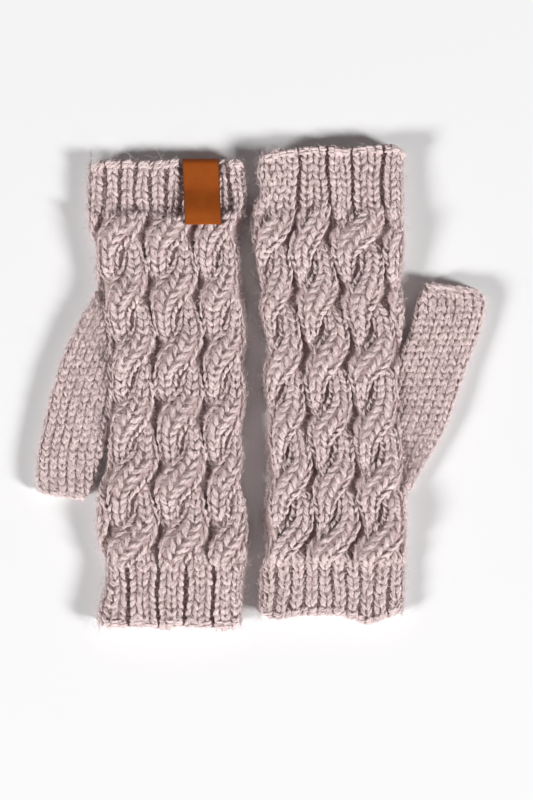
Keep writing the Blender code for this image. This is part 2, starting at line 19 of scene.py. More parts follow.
import bmesh
import bpy
import numpy as np
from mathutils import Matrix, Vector

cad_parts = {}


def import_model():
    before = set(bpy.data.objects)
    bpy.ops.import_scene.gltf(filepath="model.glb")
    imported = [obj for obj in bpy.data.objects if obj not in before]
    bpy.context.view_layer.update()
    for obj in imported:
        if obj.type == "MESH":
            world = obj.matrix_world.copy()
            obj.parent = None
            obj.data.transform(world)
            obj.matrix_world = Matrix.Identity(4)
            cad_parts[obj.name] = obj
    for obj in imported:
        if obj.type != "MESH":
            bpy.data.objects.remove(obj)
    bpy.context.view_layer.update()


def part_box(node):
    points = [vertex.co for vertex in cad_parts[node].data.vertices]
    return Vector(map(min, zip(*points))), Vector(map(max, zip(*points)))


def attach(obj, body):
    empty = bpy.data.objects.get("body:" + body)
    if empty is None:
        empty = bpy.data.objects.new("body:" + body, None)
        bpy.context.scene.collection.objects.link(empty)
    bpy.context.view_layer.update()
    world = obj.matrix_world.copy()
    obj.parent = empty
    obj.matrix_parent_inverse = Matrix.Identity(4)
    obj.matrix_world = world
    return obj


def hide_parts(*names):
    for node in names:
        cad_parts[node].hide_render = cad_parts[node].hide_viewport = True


LOG = logging.getLogger("mitts")

MM = 0.001
CENTRING = (-0.13, -0.05)
SEED = 7
THUMB_SEED = 17
HALO_SEED = 27

# A surface is one side of the cloth: it turns places across and along and a lift into points.
Array = np.ndarray
Surface = Callable[[Array, Array, Array], Array]
Colour = tuple[float, float, float, float]

# The layers of the cloth, as heights over the table in mm.
UNDER_WALL = 2.3
SLIT_ROOF = 4.3
GUTTER_TOP = 6.1
EDGE_HEIGHT = 3.2
SIDE_WALL = 3.0
TOP_ROUND = 5.0
PALM_EDGE = 2.1
PALM_HEIGHT = 0.55
UNDER_EDGE = ((0.6, 1.5), (1.5, 0.5), (3.0, 0.0))
UNDER_FLAT = 10.0
FLOOR_CLEAR = 0.12
TABLE_CLEAR = 0.03

# The cables, in mm, and shares of a cable's own width or of the length between two crossings.
CABLE_PITCH = 21.6
EDGE_PITCH = 19.8
CROSSING_PITCH = 27.8
CROSSING_RISE = 5.5
CROSSING_HALF_WIDTH = 0.40
CROSSING_REACH = 0.40
CROSSING_SWELL = 0.52
CROSSING_SLIDE = 0.8
STRAND_RISE = 4.1
STRAND_OFFSET = 0.25
STRAND_HALF_WIDTH = 0.248
STRAND_REACH = 0.93
STRAND_LEAN = 0.03
STRAND_LEAST = 0.15
FOOT_TAPER = 0.50
HEAD_TAPER = 0.22
HEAD_CLIMB = 0.52
HEAD_BEND = 0.08
HEAD_BEND_LENGTH = 0.34
CABLE_FADE = 6.0
EYE_MARGIN = 3.0

# Powers that round a strand: over its section, at its sides, and towards its foot.
STRAND_SQUARE = 2.6
STRAND_SHOULDER = 0.7
STRAND_FULLNESS = 0.85
STRAND_SIDE = 0.9
FOOT_POINT = 0.6
FOOT_DROP = 0.4

# How the stitches lie: a wale's place on its strand and the most that they wrap round an edge, in
# radians, and how far the rows wander, in mm, with the lengths of the waves they wander in.
STRAND_WALE = 0.60
MAX_WRAP = 2.4
DRIFT = 0.42
SLOW_DRIFT = (7.3, 9.1)
QUICK_DRIFT = (3.7, 5.3)
QUICK_SHARE = 0.6
DRIFT_EDGE = 2.0
DRIFT_EASE = 6.0

# The ribs, in mm, the chains at their rims, as heights and insets, and the insets of the loops.
WRIST_RIB = 24.5
WRIST_RIDGES = 10
WRIST_RISE = 1.4
FINGER_RIB = 28.0
FINGER_RISE = 2.4
FINGER_GUTTER = 1.8
RIM_LOOPS = (0.9, 2.3)
WRIST_CHAINS = ((5.6, 0.8), (4.9, 1.1), (1.3, 1.0))
FINGER_CHAINS = ((7.2, 0.7), (5.6, 0.8), (4.9, 1.1), (1.3, 1.0))

# The thumb, in mm.
THUMB_TOP = 6.3
THUMB_SIDE = 2.6
THUMB_ROUND = 3.0
THUMB_CHAINS = ((5.1, 0.8), (1.3, 0.9))
SEAM_GAP = 0.35
SEAM_EASE = 8.0
SEAM_DIP = 0.6
SEAM_BULGE = 0.5

# The label, in mm.
LABEL_WIDTH = 16.4
LABEL_LEAF = 29.8
LEATHER = 1.2
LABEL_ACROSS = -13.9
LABEL_LEAN = -0.045
LABEL_NOTCH = 3.4
NOTCH_MARGIN = 0.6
NOTCH_EASE = 1.3


class EdgeRow(NamedTuple):
    """The two side edges of a mitt, at one place along it."""

    along: float
    thumb_side: float
    outer_side: float


class RimRow(NamedTuple):
    """The end of the cloth, at one place across it."""

    across: float
    along: float


class GutterRow(NamedTuple):
    """The gutters between the cables, at one place along the hand."""

    along: float
    outer: float
    middle: float
    thumb: float


class ThumbRow(NamedTuple):
    """One section of the gusset or thumb, from the edge by the hand to its free edge."""

    inner_across: float
    inner_along: float
    outer_across: float
    outer_along: float


@dataclass(frozen=True)
class MittPlan:
    """The layout of one mitt, and where its wrist lies on the table, in mm.

    Turn is 1 with the fingers pointing away from the viewer, and -1 towards them. The crossings
    and the crotch are places along, and the rib's gutters places across. Notch is how far the
    cloth steps back under the label, 0 without one, and eye_floor how high the purl stands in the
    eyes of the cables.
    """

    name: str
    wrist_x: float
    wrist_y: float
    turn: float
    crossings: tuple[float, ...]
    rib_gutters: tuple[float, ...]
    edges: tuple[EdgeRow, ...]
    wrist_rim: tuple[RimRow, ...]
    finger_rim: tuple[RimRow, ...]
    gutters: tuple[GutterRow, ...]
    thumb: tuple[ThumbRow, ...]
    crotch: float
    notch: float
    eye_floor: float


def table(kind: type, *rows: tuple[float, ...]) -> tuple[NamedTuple, ...]:
    """A table whose rows are all of one kind."""
    return tuple(kind(*row) for row in rows)


RIGHT_MITT = MittPlan(
    name="right_mitt",
    wrist_x=32.0,
    wrist_y=-104.0,
    turn=1.0,
    crossings=(34.6, 62.6, 89.1, 117.0, 145.8, 173.7),
    rib_gutters=(-15.0, -1.6, 9.5, 23.0),
    edges=table(
        EdgeRow,
        (0.0, 31.5, -32.4), (10.8, 32.4, -31.5), (21.2, 32.4, -31.5), (30.6, 33.1, -29.7),
        (47.2, 33.3, -30.2), (57.6, 33.3, -28.4), (66.6, 32.4, -27.9), (77.9, 31.3, -29.2),
        (93.2, 29.7, -27.4), (102.6, 29.5, -29.7), (111.6, 29.7, -30.2), (119.7, 30.6, -28.6),
        (131.8, 31.9, -30.2), (140.4, 32.4, -31.9), (146.7, 31.5, -30.6), (152.1, 30.8, -31.5),
        (159.8, 31.7, -33.3), (170.1, 32.4, -35.6), (184.1, 31.9, -35.6), (193.1, 31.9, -31.5),
        (200.7, 31.5, -33.1), (210.6, 32.6, -31.5),
    ),
    wrist_rim=table(
        RimRow,
        (-32.4, 3.1), (-29.2, 0.5), (-23.4, -0.9), (-14.4, 0.5), (1.4, 0.5), (10.3, -1.8),
        (16.2, -3.6), (21.6, -1.8), (27.9, 0.5), (31.5, 3.1),
    ),
    finger_rim=table(
        RimRow,
        (-31.5, 207.5), (-27.9, 209.7), (-21.2, 211.3), (-0.9, 213.3), (9.0, 212.2), (20.7, 213.1),
        (27.0, 213.3), (32.9, 210.2),
    ),
    gutters=table(
        GutterRow,
        (30.6, -10.8, 9.9, 32.9), (44.1, -8.6, 11.7, 33.8), (66.6, -9.0, 10.8, 32.4),
        (84.6, -10.3, 9.5, 30.6), (98.1, -12.6, 8.6, 29.2), (113.9, -12.2, 8.1, 29.2),
        (129.6, -14.0, 7.2, 28.4), (143.1, -15.8, 4.0, 25.7), (152.1, -18.4, 2.7, 23.4),
        (170.1, -18.4, -0.5, 23.4), (192.6, -15.0, -1.4, 23.0),
    ),
    thumb=table(
        ThumbRow,
        (33.5, 57.6, 35.8, 57.6), (33.0, 63.0, 38.5, 63.5), (32.0, 69.3, 42.1, 69.8),
        (31.0, 77.0, 46.6, 77.0), (30.0, 84.6, 50.9, 84.6), (29.0, 94.5, 54.5, 94.0),
        (29.0, 103.5, 57.6, 103.5), (29.0, 112.5, 60.8, 112.5), (31.1, 120.6, 63.7, 120.6),
        (34.6, 128.2, 66.4, 128.2), (36.5, 134.1, 68.2, 134.6), (38.2, 141.8, 69.3, 140.4),
        (41.0, 148.1, 68.4, 145.3), (43.6, 151.2, 64.4, 148.5),
    ),
    crotch=120.6,
    notch=0.0,
    eye_floor=0.9,
)

LEFT_MITT = MittPlan(
    name="left_mitt",
    wrist_x=-41.0,
    wrist_y=103.0,
    turn=-1.0,
    crossings=(31.9, 59.9, 87.3, 115.2, 143.1, 171.9),
    rib_gutters=(-19.4, -7.2, 5.0, 18.5),
    edges=table(
        EdgeRow,
        (0.0, 35.6, -33.3), (9.9, 36.7, -33.8), (25.7, 36.7, -33.3), (32.4, 35.6, -31.5),
        (39.1, 32.9, -30.8), (51.8, 32.9, -31.9), (59.4, 31.9, -32.4), (65.7, 29.7, -32.9),
        (75.2, 27.9, -33.3), (83.7, 26.8, -34.0), (92.2, 26.8, -32.9), (100.8, 27.0, -33.8),
        (113.9, 27.0, -32.9), (123.8, 27.4, -31.3), (136.8, 27.7, -32.2), (142.7, 28.8, -31.5),
        (147.2, 31.1, -31.1), (153.9, 32.2, -32.4), (167.4, 32.4, -34.4), (174.2, 31.3, -34.4),
        (181.3, 28.6, -34.2), (187.7, 28.4, -33.3), (194.0, 29.2, -32.2), (204.3, 32.2, -31.5),
        (212.0, 31.9, -31.5),
    ),
    wrist_rim=table(
        RimRow,
        (-33.8, 3.1), (-31.9, 0.9), (-29.2, -0.5), (-24.8, 0.0), (-2.2, 0.2), (24.8, 0.0),
        (32.4, 0.9), (35.6, 3.1),
    ),
    finger_rim=table(
        RimRow,
        (-31.5, 208.3), (-28.8, 211.5), (-23.4, 212.0), (-6.8, 210.8), (4.5, 212.4), (9.0, 211.5),
        (30.2, 211.1), (32.4, 208.3),
    ),
    gutters=table(
        GutterRow,
        (30.2, -10.8, 11.2, 32.4), (41.4, -11.7, 10.8, 32.9), (54.9, -11.7, 9.5, 31.9),
        (61.6, -13.1, 8.6, 30.2), (72.9, -14.8, 7.7, 27.9), (86.4, -15.3, 6.3, 26.1),
        (108.9, -14.8, 6.8, 26.6), (122.4, -15.8, 5.4, 27.0), (144.9, -16.7, 5.9, 27.9),
        (162.9, -17.6, 5.4, 27.9), (176.4, -18.4, 5.0, 28.4),
    ),
    thumb=table(
        ThumbRow,
        (31.5, 59.5, 33.5, 59.5), (29.5, 65.7, 35.8, 65.2), (28.0, 72.0, 39.8, 71.1),
        (26.5, 79.2, 43.9, 79.2), (26.5, 87.3, 47.4, 87.3), (26.5, 96.3, 50.9, 96.8),
        (26.5, 105.3, 53.6, 106.2), (26.5, 114.3, 55.8, 115.2), (27.9, 123.8, 57.6, 123.8),
        (29.5, 131.0, 59.2, 130.1), (31.7, 138.6, 59.9, 136.8), (34.2, 146.7, 60.0, 144.0),
        (36.5, 151.2, 59.6, 148.1), (39.1, 153.9, 57.6, 150.8),
    ),
    crotch=123.8,
    notch=LABEL_NOTCH,
    eye_floor=2.0,
)


def smooth(value: Array) -> Array:
    """A soft step from 0 to 1."""
    held = np.clip(value, 0.0, 1.0)
    return held * held * (3.0 - 2.0 * held)


class SmoothCurve:
    """A smooth curve through one column of a short table."""

    def __init__(self, places: Sequence[float], values: Sequence[float]) -> None:
        """Work out the slope at each row.

        Args:
            places: Where the rows stand, in rising order.
            values: What the column holds there.
        """
        self.places = np.asarray(places, dtype=float)
        self.values = np.asarray(values, dtype=float)
        last = len(places) - 1
        low = np.maximum(np.arange(last + 1) - 1, 0)
        high = np.minimum(np.arange(last + 1) + 1, last)
        rise = self.values[high] - self.values[low]
        self.slopes = rise / (self.places[high] - self.places[low])

    def __call__(self, place: Array) -> Array:
        """Read the curve.

        Args:
            place: Where to read it; past an end it keeps the end's value.

        Returns:
            The values there.
        """
        spot = np.clip(place, self.places[0], self.places[-1])
        after = np.searchsorted(self.places, spot, side="right")
        after = np.clip(after, 1, len(self.places) - 1)
        before = after - 1
        span = self.places[after] - self.places[before]
        share = (spot - self.places[before]) / span
        square = share * share
        cube = square * share
        return (
            (2.0 * cube - 3.0 * square + 1.0) * self.values[before]
            + (cube - 2.0 * square + share) * span * self.slopes[before]
            + (3.0 * square - 2.0 * cube) * self.values[after]
            + (cube - square) * span * self.slopes[after]
        )


def column(rows: Sequence[NamedTuple], place: str, value: str) -> SmoothCurve:
    """The curve of one column of a table over another."""
    return SmoothCurve([getattr(row, place) for row in rows], [getattr(row, value) for row in rows])


def beside_label(across: Array, margin: float) -> Array:
    """Which places lie beside the label, further from its edges than a margin."""
    return np.abs(across - LABEL_ACROSS) > 0.5 * LABEL_WIDTH + margin


def seam_height(seam: Array) -> Array:
    """The height at which a side edge turns, higher where the thumb is joined to the hand."""
    return EDGE_HEIGHT + (THUMB_TOP - SEAM_DIP - EDGE_HEIGHT) * seam


def round_edge(edge: Array, top: Array, lift: Array, angle: Array) -> Array:
    """Work out the height of cloth that rounds a side edge.

    Args:
        edge: The height at which it turns.
        top: The height of the cloth above, before it turns.
        lift: How far out of the cloth the point lies.
        angle: How far round it lies, in radians.

    Returns:
        The height.
    """
    return edge + np.where(angle <= 0.5 * pi, top + lift - edge, edge + lift) * np.cos(angle)


class Gauge(Enum):
    """How finely a leg of yarn is modelled, as (plies, sides of a ply, rings)."""

    FACE = (2, 5, 6)
    PALM = (1, 5, 3)
    HAIR = (1, 3, 2)


@dataclass(frozen=True)
class LegShape:
    """How one leg of a stitch runs.

    Start, length and slip are shares of its row. Its foot stands narrow and its head wide of the
    wale's middle, with a belly between, in shares of half the wale. Its hidden ends lie low and its
    middle rises over them, rounded by a power. Width and thick are half the yarn's, in mm. Sway,
    slip, stray and fullness are how far one leg differs from another.
    """

    start: float = -0.17
    length: float = 1.44
    narrow: float = 0.14
    wide: float = 0.92
    belly: float = 0.10
    low: float = -0.85
    rise: float = 0.80
    roundness: float = 0.7
    width: float = 1.24
    thick: float = 0.74
    sway: float = 0.08
    slip: float = 0.08
    stray: float = 0.13
    fullness: float = 0.10


@dataclass(frozen=True)
class BumpShape:
    """How a purl bump lies, in mm.

    Lift is its middle's height over the relief. It bows along and rises over its two ends, and
    girth is half its thickness. Tilt, sway and stray are how far one differs from another.
    """

    lift: float
    width: float = 3.4
    girth: float = 0.7
    bow: float = 0.7
    rise: float = 1.0
    tilt: float = 0.35
    sway: float = 0.15
    stray: float = 0.1


@dataclass(frozen=True)
class ChainShape:
    """How a chain stitch lies along a rim, in mm.

    It slants in over its reach, bows outwards and has a crown, and drop is how far it stays under
    the relief. Width and thick are half the yarn's. Sway, stray and fullness are how far one
    stitch differs from another.
    """

    pitch: float = 3.3
    reach: float = 4.6
    slant: float = 1.5
    bow: float = 0.4
    crown: float = 0.35
    drop: float = 0.7
    width: float = 1.0
    thick: float = 0.9
    sway: float = 0.14
    stray: float = 0.14
    fullness: float = 0.06


@dataclass(frozen=True)
class LoopShape:
    """How a slanted loop lies over the ribs beside a rim, in mm.

    A share of its reach lies before its own place. Its ends lie low over the relief, and its
    middle rises over them. Width and thick are half the yarn's. Sway, the strays and fullness are
    how far one loop differs from another.
    """

    pitch: float = 3.6
    reach: float = 4.4
    before: float = 0.1
    slant: float = 1.5
    slant_stray: float = 0.35
    low: float = -0.35
    rise: float = 0.75
    width: float = 1.15
    thick: float = 0.85
    sway: float = 0.3
    stray: float = 0.1
    fullness: float = 0.08


@dataclass(frozen=True)
class CornerShape:
    """The arc of stitches that carries a rim round a side edge, in mm and radians.

    They start at even angles from first to last, 0 straight up, and each covers one sweep. The
    arc stands inset from the edge and no lower than the least, and slants in from the rim. Width
    and thick are half the yarn's.
    """

    count: int = 4
    first: float = -0.2
    last: float = 1.3
    sweep: float = 0.9
    inset: float = 3.3
    radius: float = 2.7
    middle: float = 3.5
    height: float = 3.0
    least: float = 1.0
    from_rim: float = 0.9
    slant: float = 1.2
    width: float = 1.0
    thick: float = 0.9


CABLE_LEG = LegShape()
RIB_LEG = LegShape(width=1.16, wide=0.86)
THUMB_LEG = LegShape(width=1.08, rise=0.85, low=-0.88)
PALM_LEG = LegShape(low=-0.25, rise=0.3, width=1.0, thick=0.4)
GUTTER_BUMP = BumpShape(-0.95)
EYE_BUMP = BumpShape(-1.1)
WRIST_BUMP = BumpShape(-0.1, width=2.6)
FINGER_BUMP = BumpShape(0.0, width=3.0, girth=0.76)
THUMB_CHAIN = ChainShape(
    pitch=3.1, reach=4.0, slant=1.2, crown=0.4, width=0.95, thick=0.85, stray=0.12
)


class YarnBatch:
    """Legs of yarn that are gathered into one mesh, all with one gauge.

    Twist is the length of one turn of a leg's plies, in mm, and their offset and girth are shares
    of the leg's. Shift is how far one leg's fibres may start from another's.
    """

    twist = 8.0
    ply_offset = 0.40
    ply_girth = 0.68
    shift = 400.0
    tiny = 1e-9

    def __init__(self, gauge: Gauge, rng: np.random.Generator) -> None:
        """Start an empty batch.

        Args:
            gauge: How finely each leg is modelled.
            rng: The source of the small differences between legs.
        """
        self.gauge = gauge
        self.rng = rng
        self.paths: list[Array] = []
        self.outward: list[Array] = []
        self.widths: list[Array] = []
        self.thicks: list[Array] = []

    @property
    def stations(self) -> Array:
        """The places along a leg, from 0 to 1, at which its rings stand, as one row."""
        rings = self.gauge.value[2]
        return np.linspace(0.0, 1.0, rings + 1)[None, :]

    def lay(self, path: Array, outward: Array, width: Array, thick: Array) -> None:
        """Add legs.

        Args:
            path: The middle of each leg at each station, in mm.
            outward: The way out of the cloth there, of any length.
            width: Half of each leg's width.
            thick: Half of each leg's thickness.
        """
        self.paths.append(path)
        self.outward.append(outward)
        self.widths.append(width)
        self.thicks.append(thick)

    def knit(self, part: str, plan: MittPlan, finish: bpy.types.Material) -> bpy.types.Object:
        """Make the mesh: one slim closed spindle for each ply of each leg.

        Args:
            part: What the piece is called after the mitt's own name.
            plan: The mitt whose frame the paths are in.
            finish: The yarn.

        Returns:
            The piece.
        """
        path = np.concatenate(self.paths)
        out = np.concatenate(self.outward)
        width = np.concatenate(self.widths)[:, None, None]
        thick = np.concatenate(self.thicks)[:, None, None]
        along = np.gradient(path, axis=1)
        along /= np.linalg.norm(along, axis=2, keepdims=True) + self.tiny
        side = np.cross(along, out)
        side /= np.linalg.norm(side, axis=2, keepdims=True) + self.tiny
        out = np.cross(side, along)
        steps = np.linalg.norm(np.diff(path, axis=1), axis=2)
        run = np.concatenate([np.zeros((len(path), 1)), np.cumsum(steps, axis=1)], axis=1)
        plies, sides, rings = self.gauge.value
        if plies > 1:
            phase = self.rng.uniform(0.0, 2.0 * pi, (len(path), 1)) + run * 2.0 * pi / self.twist
            turns = [phase + 2.0 * pi * ply / plies for ply in range(plies)]
            path = np.concatenate([
                path + self.ply_offset * (
                    width * np.cos(turn)[..., None] * side + thick * np.sin(turn)[..., None] * out
                )
                for turn in turns
            ])
            side, out, run = (np.concatenate([each] * plies) for each in (side, out, run))
            width, thick = (
                np.concatenate([each] * plies) * self.ply_girth for each in (width, thick)
            )
        ring, around, girth, faces = spindle(sides, rings)
        cosine = (np.cos(around) * girth)[None, :, None]
        sine = (np.sin(around) * girth)[None, :, None]
        points = path[:, ring] + side[:, ring] * width * cosine + out[:, ring] * thick * sine
        points[..., 2] = np.maximum(points[..., 2], TABLE_CLEAR)
        shift = self.rng.uniform(0.0, self.shift, (len(path), 1))
        yarn = np.stack(np.broadcast_arrays(
            run[:, ring] + shift, np.cos(around)[None, :], np.sin(around)[None, :]
        ), axis=2)
        tone = np.repeat(self.rng.uniform(0.0, 1.0, len(path)), len(ring))
        starts = np.arange(len(path)) * len(ring)
        cells = [[int(first) + corner for corner in face] for first in starts for face in faces]
        name = f"{plan.name}_{part}"
        data = bpy.data.meshes.new(name)
        data.from_pydata(to_table(plan, points).reshape(-1, 3), [], cells)
        store(data, "yarn", "FLOAT_VECTOR", "vector", yarn)
        store(data, "tone", "FLOAT", "value", tone)
        return place_piece(name, data, finish)


def store(data: bpy.types.Mesh, name: str, kind: str, key: str, values: Array) -> None:
    """Keep a value for each point of a mesh.

    Args:
        data: The mesh.
        name: The attribute's name, which the finishes read.
        kind: Its type.
        key: The name of its items' value.
        values: One value, or vector, a point.
    """
    kept = data.attributes.new(name, kind, "POINT")
    kept.data.foreach_set(key, np.asarray(values, dtype=np.float32).ravel())


def spindle(sides: int, rings: int, taper: float = 0.6) -> tuple[Array, Array, Array, list]:
    """The pattern of a leg: a round form whose rings are set along the leg's path later.

    Args:
        sides: How many sides it has.
        rings: How many bands it has from tip to tip.
        taper: The power that rounds its two ends.

    Returns:
        The ring and the angle of each point, its share of the full girth, and the faces.
    """
    mesh = bmesh.new()
    bmesh.ops.create_uvsphere(mesh, u_segments=sides, v_segments=rings, radius=1.0)
    spots = np.array([vertex.co[:] for vertex in mesh.verts])
    # The operator gives its faces in another order on each run, so they are sorted.
    faces = sorted([vertex.index for vertex in face.verts] for face in mesh.faces)
    mesh.free()
    polar = np.arccos(np.clip(spots[:, 2], -1.0, 1.0))
    ring = np.rint(polar / pi * rings).astype(int)
    girth = np.where((ring == 0) | (ring == rings), 0.0, np.sin(polar) ** taper)
    return ring, np.arctan2(spots[:, 1], spots[:, 0]), girth, faces


def to_table(plan: MittPlan, points: Array) -> Array:
    """Move points from a mitt's own frame into the pair's.

    Args:
        plan: The mitt.
        points: The points, in mm.

    Returns:
        The points in the pair's frame, in metres.
    """
    placed = np.empty(points.shape)
    placed[..., 0] = plan.wrist_x + plan.turn * points[..., 0] + CENTRING[0]
    placed[..., 1] = plan.wrist_y + plan.turn * points[..., 1] + CENTRING[1]
    placed[..., 2] = points[..., 2]
    return placed * MM


def keep_mesh(mesh: bmesh.types.BMesh, name: str) -> bpy.types.Mesh:
    """Turn an edited mesh into a finished one of this name."""
    data = bpy.data.meshes.new(name)
    mesh.to_mesh(data)
    mesh.free()
    return data


def link(name: str, data: bpy.types.ID) -> bpy.types.Object:
    """Put an object of this name, with this data, into the scene."""
    thing = bpy.data.objects.new(name, data)
    bpy.context.scene.collection.objects.link(thing)
    return thing


def place_piece(name: str, data: bpy.types.Mesh, finish: bpy.types.Material) -> bpy.types.Object:
    """Make a smooth piece and tell the frame that it is part of the object.

    Args:
        name: The piece's name.
        data: Its finished mesh.
        finish: Its material.

    Returns:
        The piece.
    """
    data.materials.append(finish)
    data.shade_smooth()
    piece = link(name, data)
    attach(piece, "root")
    LOG.info("%s: %d faces", name, len(data.polygons))
    return piece


def sample(
    surface: Surface, across: Array, along: Array, lift: Array, probe: float = 0.1
) -> tuple[Array, Array]:
    """Read a surface.

    Args:
        surface: The side of the cloth that they lie on.
        across: The places across.
        along: The places along.
        lift: How far out of the cloth they lie.
        probe: How far further out the second reading is.

    Returns:
        The points, and the way out of the cloth at each.
    """
    path = surface(across, along, lift)
    return path, surface(across, along, lift + probe) - path


def lay_legs(
    batch: YarnBatch, surface: Surface, middle: Array, half: Array, start: Array, row: float,
    shape: LegShape,
) -> None:
    """Lay the two legs of each stitch of some wales.

    Args:
        batch: Where they go.
        surface: The side of the cloth that they lie on.
        middle: The wale's middle at each stitch.
        half: Half the wale's width there, in the surface's own measure across.
        start: The place along at which each stitch's row starts.
        row: The height of a row.
        shape: How a leg runs.
    """
    rng = batch.rng
    share = batch.stations
    count = len(middle)
    for side in (-1.0, 1.0):
        sway = rng.normal(0.0, shape.sway, (count, 1))
        arch = shape.belly * np.sin(pi * share)
        reach = shape.narrow + (shape.wide - shape.narrow) * share + arch
        across = middle[:, None] + np.reshape(half, (-1, 1)) * (side * reach + sway)
        slip = rng.normal(0.0, shape.slip, (count, 1))
        along = start[:, None] + row * (shape.start + shape.length * share + slip)
        raised = shape.low + shape.rise * np.sin(pi * share) ** shape.roundness
        lift = raised + rng.normal(0.0, shape.stray, (count, 1))
        path, outward = sample(surface, across, along, lift)
        full = rng.normal(1.0, shape.fullness, count)
        batch.lay(path, outward, shape.width * full, shape.thick * full)


def lay_bumps(
    batch: YarnBatch, surface: Surface, middle: Array, start: Array, shape: BumpShape
) -> None:
    """Lay purl bumps: short arcs of yarn across the cloth.

    Args:
        batch: Where they go.
        surface: The side of the cloth that they lie on.
        middle: The middle of each bump.
        start: Its place along.
        shape: How a bump lies.
    """
    rng = batch.rng
    share = batch.stations
    count = len(middle)
    arch = np.sin(pi * share)
    tilt = rng.normal(0.0, shape.tilt, (count, 1))
    sway = rng.normal(0.0, shape.sway, (count, 1))
    across = middle[:, None] + shape.width * (share - 0.5) + sway
    along = start[:, None] + shape.bow * arch + tilt * (share - 0.5)
    stray = rng.normal(0.0, shape.stray, (count, 1))
    path, outward = sample(surface, across, along, shape.lift + shape.rise * (arch - 1.0) + stray)
    full = np.full(count, shape.girth)
    batch.lay(path, outward, full, full)


class Lay:
    """Where the knitting of one mitt lies: its edges, and the relief of its upper side."""

    least = 1e-6

    def __init__(self, plan: MittPlan) -> None:
        """Read the plan's tables.

        Args:
            plan: The mitt.
        """
        self.plan = plan
        self.thumb_side = column(plan.edges, "along", "thumb_side")
        self.outer_side = column(plan.edges, "along", "outer_side")
        self.wrist_rim = column(plan.wrist_rim, "across", "along")
        self.finger_rim = column(plan.finger_rim, "across", "along")
        self.gutter_curves = [
            column(plan.gutters, "along", name) for name in ("outer", "middle", "thumb")
        ]
        first, last = plan.crossings[0], plan.crossings[-1]
        under_wrist, under_fingers = first - CROSSING_PITCH, last + CROSSING_PITCH
        self.crossings = np.array((under_wrist, *plan.crossings, under_fingers))
        self.length = plan.edges[-1].along

    def sides(self, nominal: float) -> tuple[float, float]:
        """The place of the outer edge and of the thumb's, at one place along."""
        place = np.array(nominal)
        return float(self.outer_side(place)), float(self.thumb_side(place))

    def gutters(self, along: Array) -> Array:
        """The gutters across the hand, with one more pitch at each side, along a new first axis."""
        outer, middle, thumb = (curve(along) for curve in self.gutter_curves)
        return np.stack([outer - EDGE_PITCH, outer, middle, thumb, thumb + CABLE_PITCH])

    def rib_share(self, across: Array, along: Array) -> Array:
        """How much of the knitting is rib and not cable, from 0 in the hand to 1 at the ends."""
        wrist_end = (WRIST_RIB - along) / CABLE_FADE + 0.5
        finger_end = (along - self.finger_rim(across) + FINGER_RIB) / CABLE_FADE + 0.5
        return smooth(np.maximum(wrist_end, finger_end))

    def seam_share(self, along: Array) -> Array:
        """1 where the gusset grows from the hand's side, and 0 where that side is free."""
        start = self.plan.thumb[0].inner_along
        return smooth((along - start) / SEAM_EASE) * smooth((self.plan.crotch - along) / SEAM_EASE)

    def cable_relief(self, across: Array, along: Array) -> Array:
        """Work out the height of the cables over the gutters' floor.

        Args:
            across: The places across.
            along: The places along.

        Returns:
            The heights.
        """
        gutters = self.gutters(along)
        height = np.zeros(np.broadcast(across, along).shape)
        for low, high in zip(gutters, gutters[1:]):
            offset = across - 0.5 * (low + high)
            inside = (across > low) & (across < high)
            margin = np.minimum(across - low, high - across)
            height = np.maximum(height, self.plan.eye_floor * smooth(margin / EYE_MARGIN))
            for crossing in self.crossings:
                strand = StrandRun(high - low, (along - crossing) / CROSSING_PITCH)
                half = np.maximum(strand.half, self.least)
                reach = np.abs((offset - strand.middle) / strand.lean / half)
                section = np.clip(1.0 - reach ** STRAND_SQUARE, 0.0, 1.0) ** STRAND_SHOULDER
                height = np.maximum(height, np.where(inside, strand.crown * section, 0.0))
        return height

    def rib_relief(self, across: Array, along: Array) -> Array:
        """Work out the height of the ribs at the two ends over the gutters' floor.

        Args:
            across: The places across.
            along: The places along.

        Returns:
            The heights.
        """
        thumb_side = self.thumb_side(along)
        outer_side = self.outer_side(along)
        share = (across - outer_side) / (thumb_side - outer_side)
        wrist = WRIST_RISE * (0.5 - 0.5 * np.cos(2.0 * pi * WRIST_RIDGES * share))
        gaps = np.stack([np.abs(across - gutter) for gutter in self.plan.rib_gutters])
        finger = FINGER_RISE * smooth(gaps.min(axis=0) / FINGER_GUTTER)
        return np.where(along < 0.5 * self.length, wrist, finger)

    def relief(self, across: Array, along: Array) -> Array:
        """The height of the knitting over the gutters' floor."""
        ribbed = self.rib_share(across, along)
        cables = self.cable_relief(across, along)
        return (1.0 - ribbed) * cables + ribbed * self.rib_relief(across, along)

    def wrap(self, across: Array, along: Array, relief: Array, lift: Array) -> Array:
        """Lay a point of the upper side on the mitt, and round its two side edges.

        Args:
            across: The place across, measured over the rounding at the edges.
            along: The place along.
            relief: The height over the gutters' floor.
            lift: How far out of the cloth the point lies.

        Returns:
            The points, in the mitt's own frame.
        """
        high = self.thumb_side(along) - TOP_ROUND
        low = self.outer_side(along) + TOP_ROUND
        side = np.where(across > 0.5 * (high + low), 1.0, -1.0)
        over = np.maximum(np.maximum(across - high, low - across), 0.0)
        angle = np.minimum(over / TOP_ROUND, MAX_WRAP)
        limit = np.where(side > 0.0, high, low)
        seam = self.seam_share(along) * (side > 0.0)
        swung = limit + side * (TOP_ROUND + lift * (1.0 - seam)) * np.sin(angle)
        x = np.where(over > 0.0, swung, across)
        z = round_edge(seam_height(seam), GUTTER_TOP + relief, lift, angle)
        free = smooth((self.thumb_side(along) - DRIFT_EDGE - across) / DRIFT_EASE)
        x = x + free * self.drift(along, across)
        y = along + free * self.drift(across, along)
        return np.stack([x, y, np.maximum(z, FLOOR_CLEAR)], axis=-1)

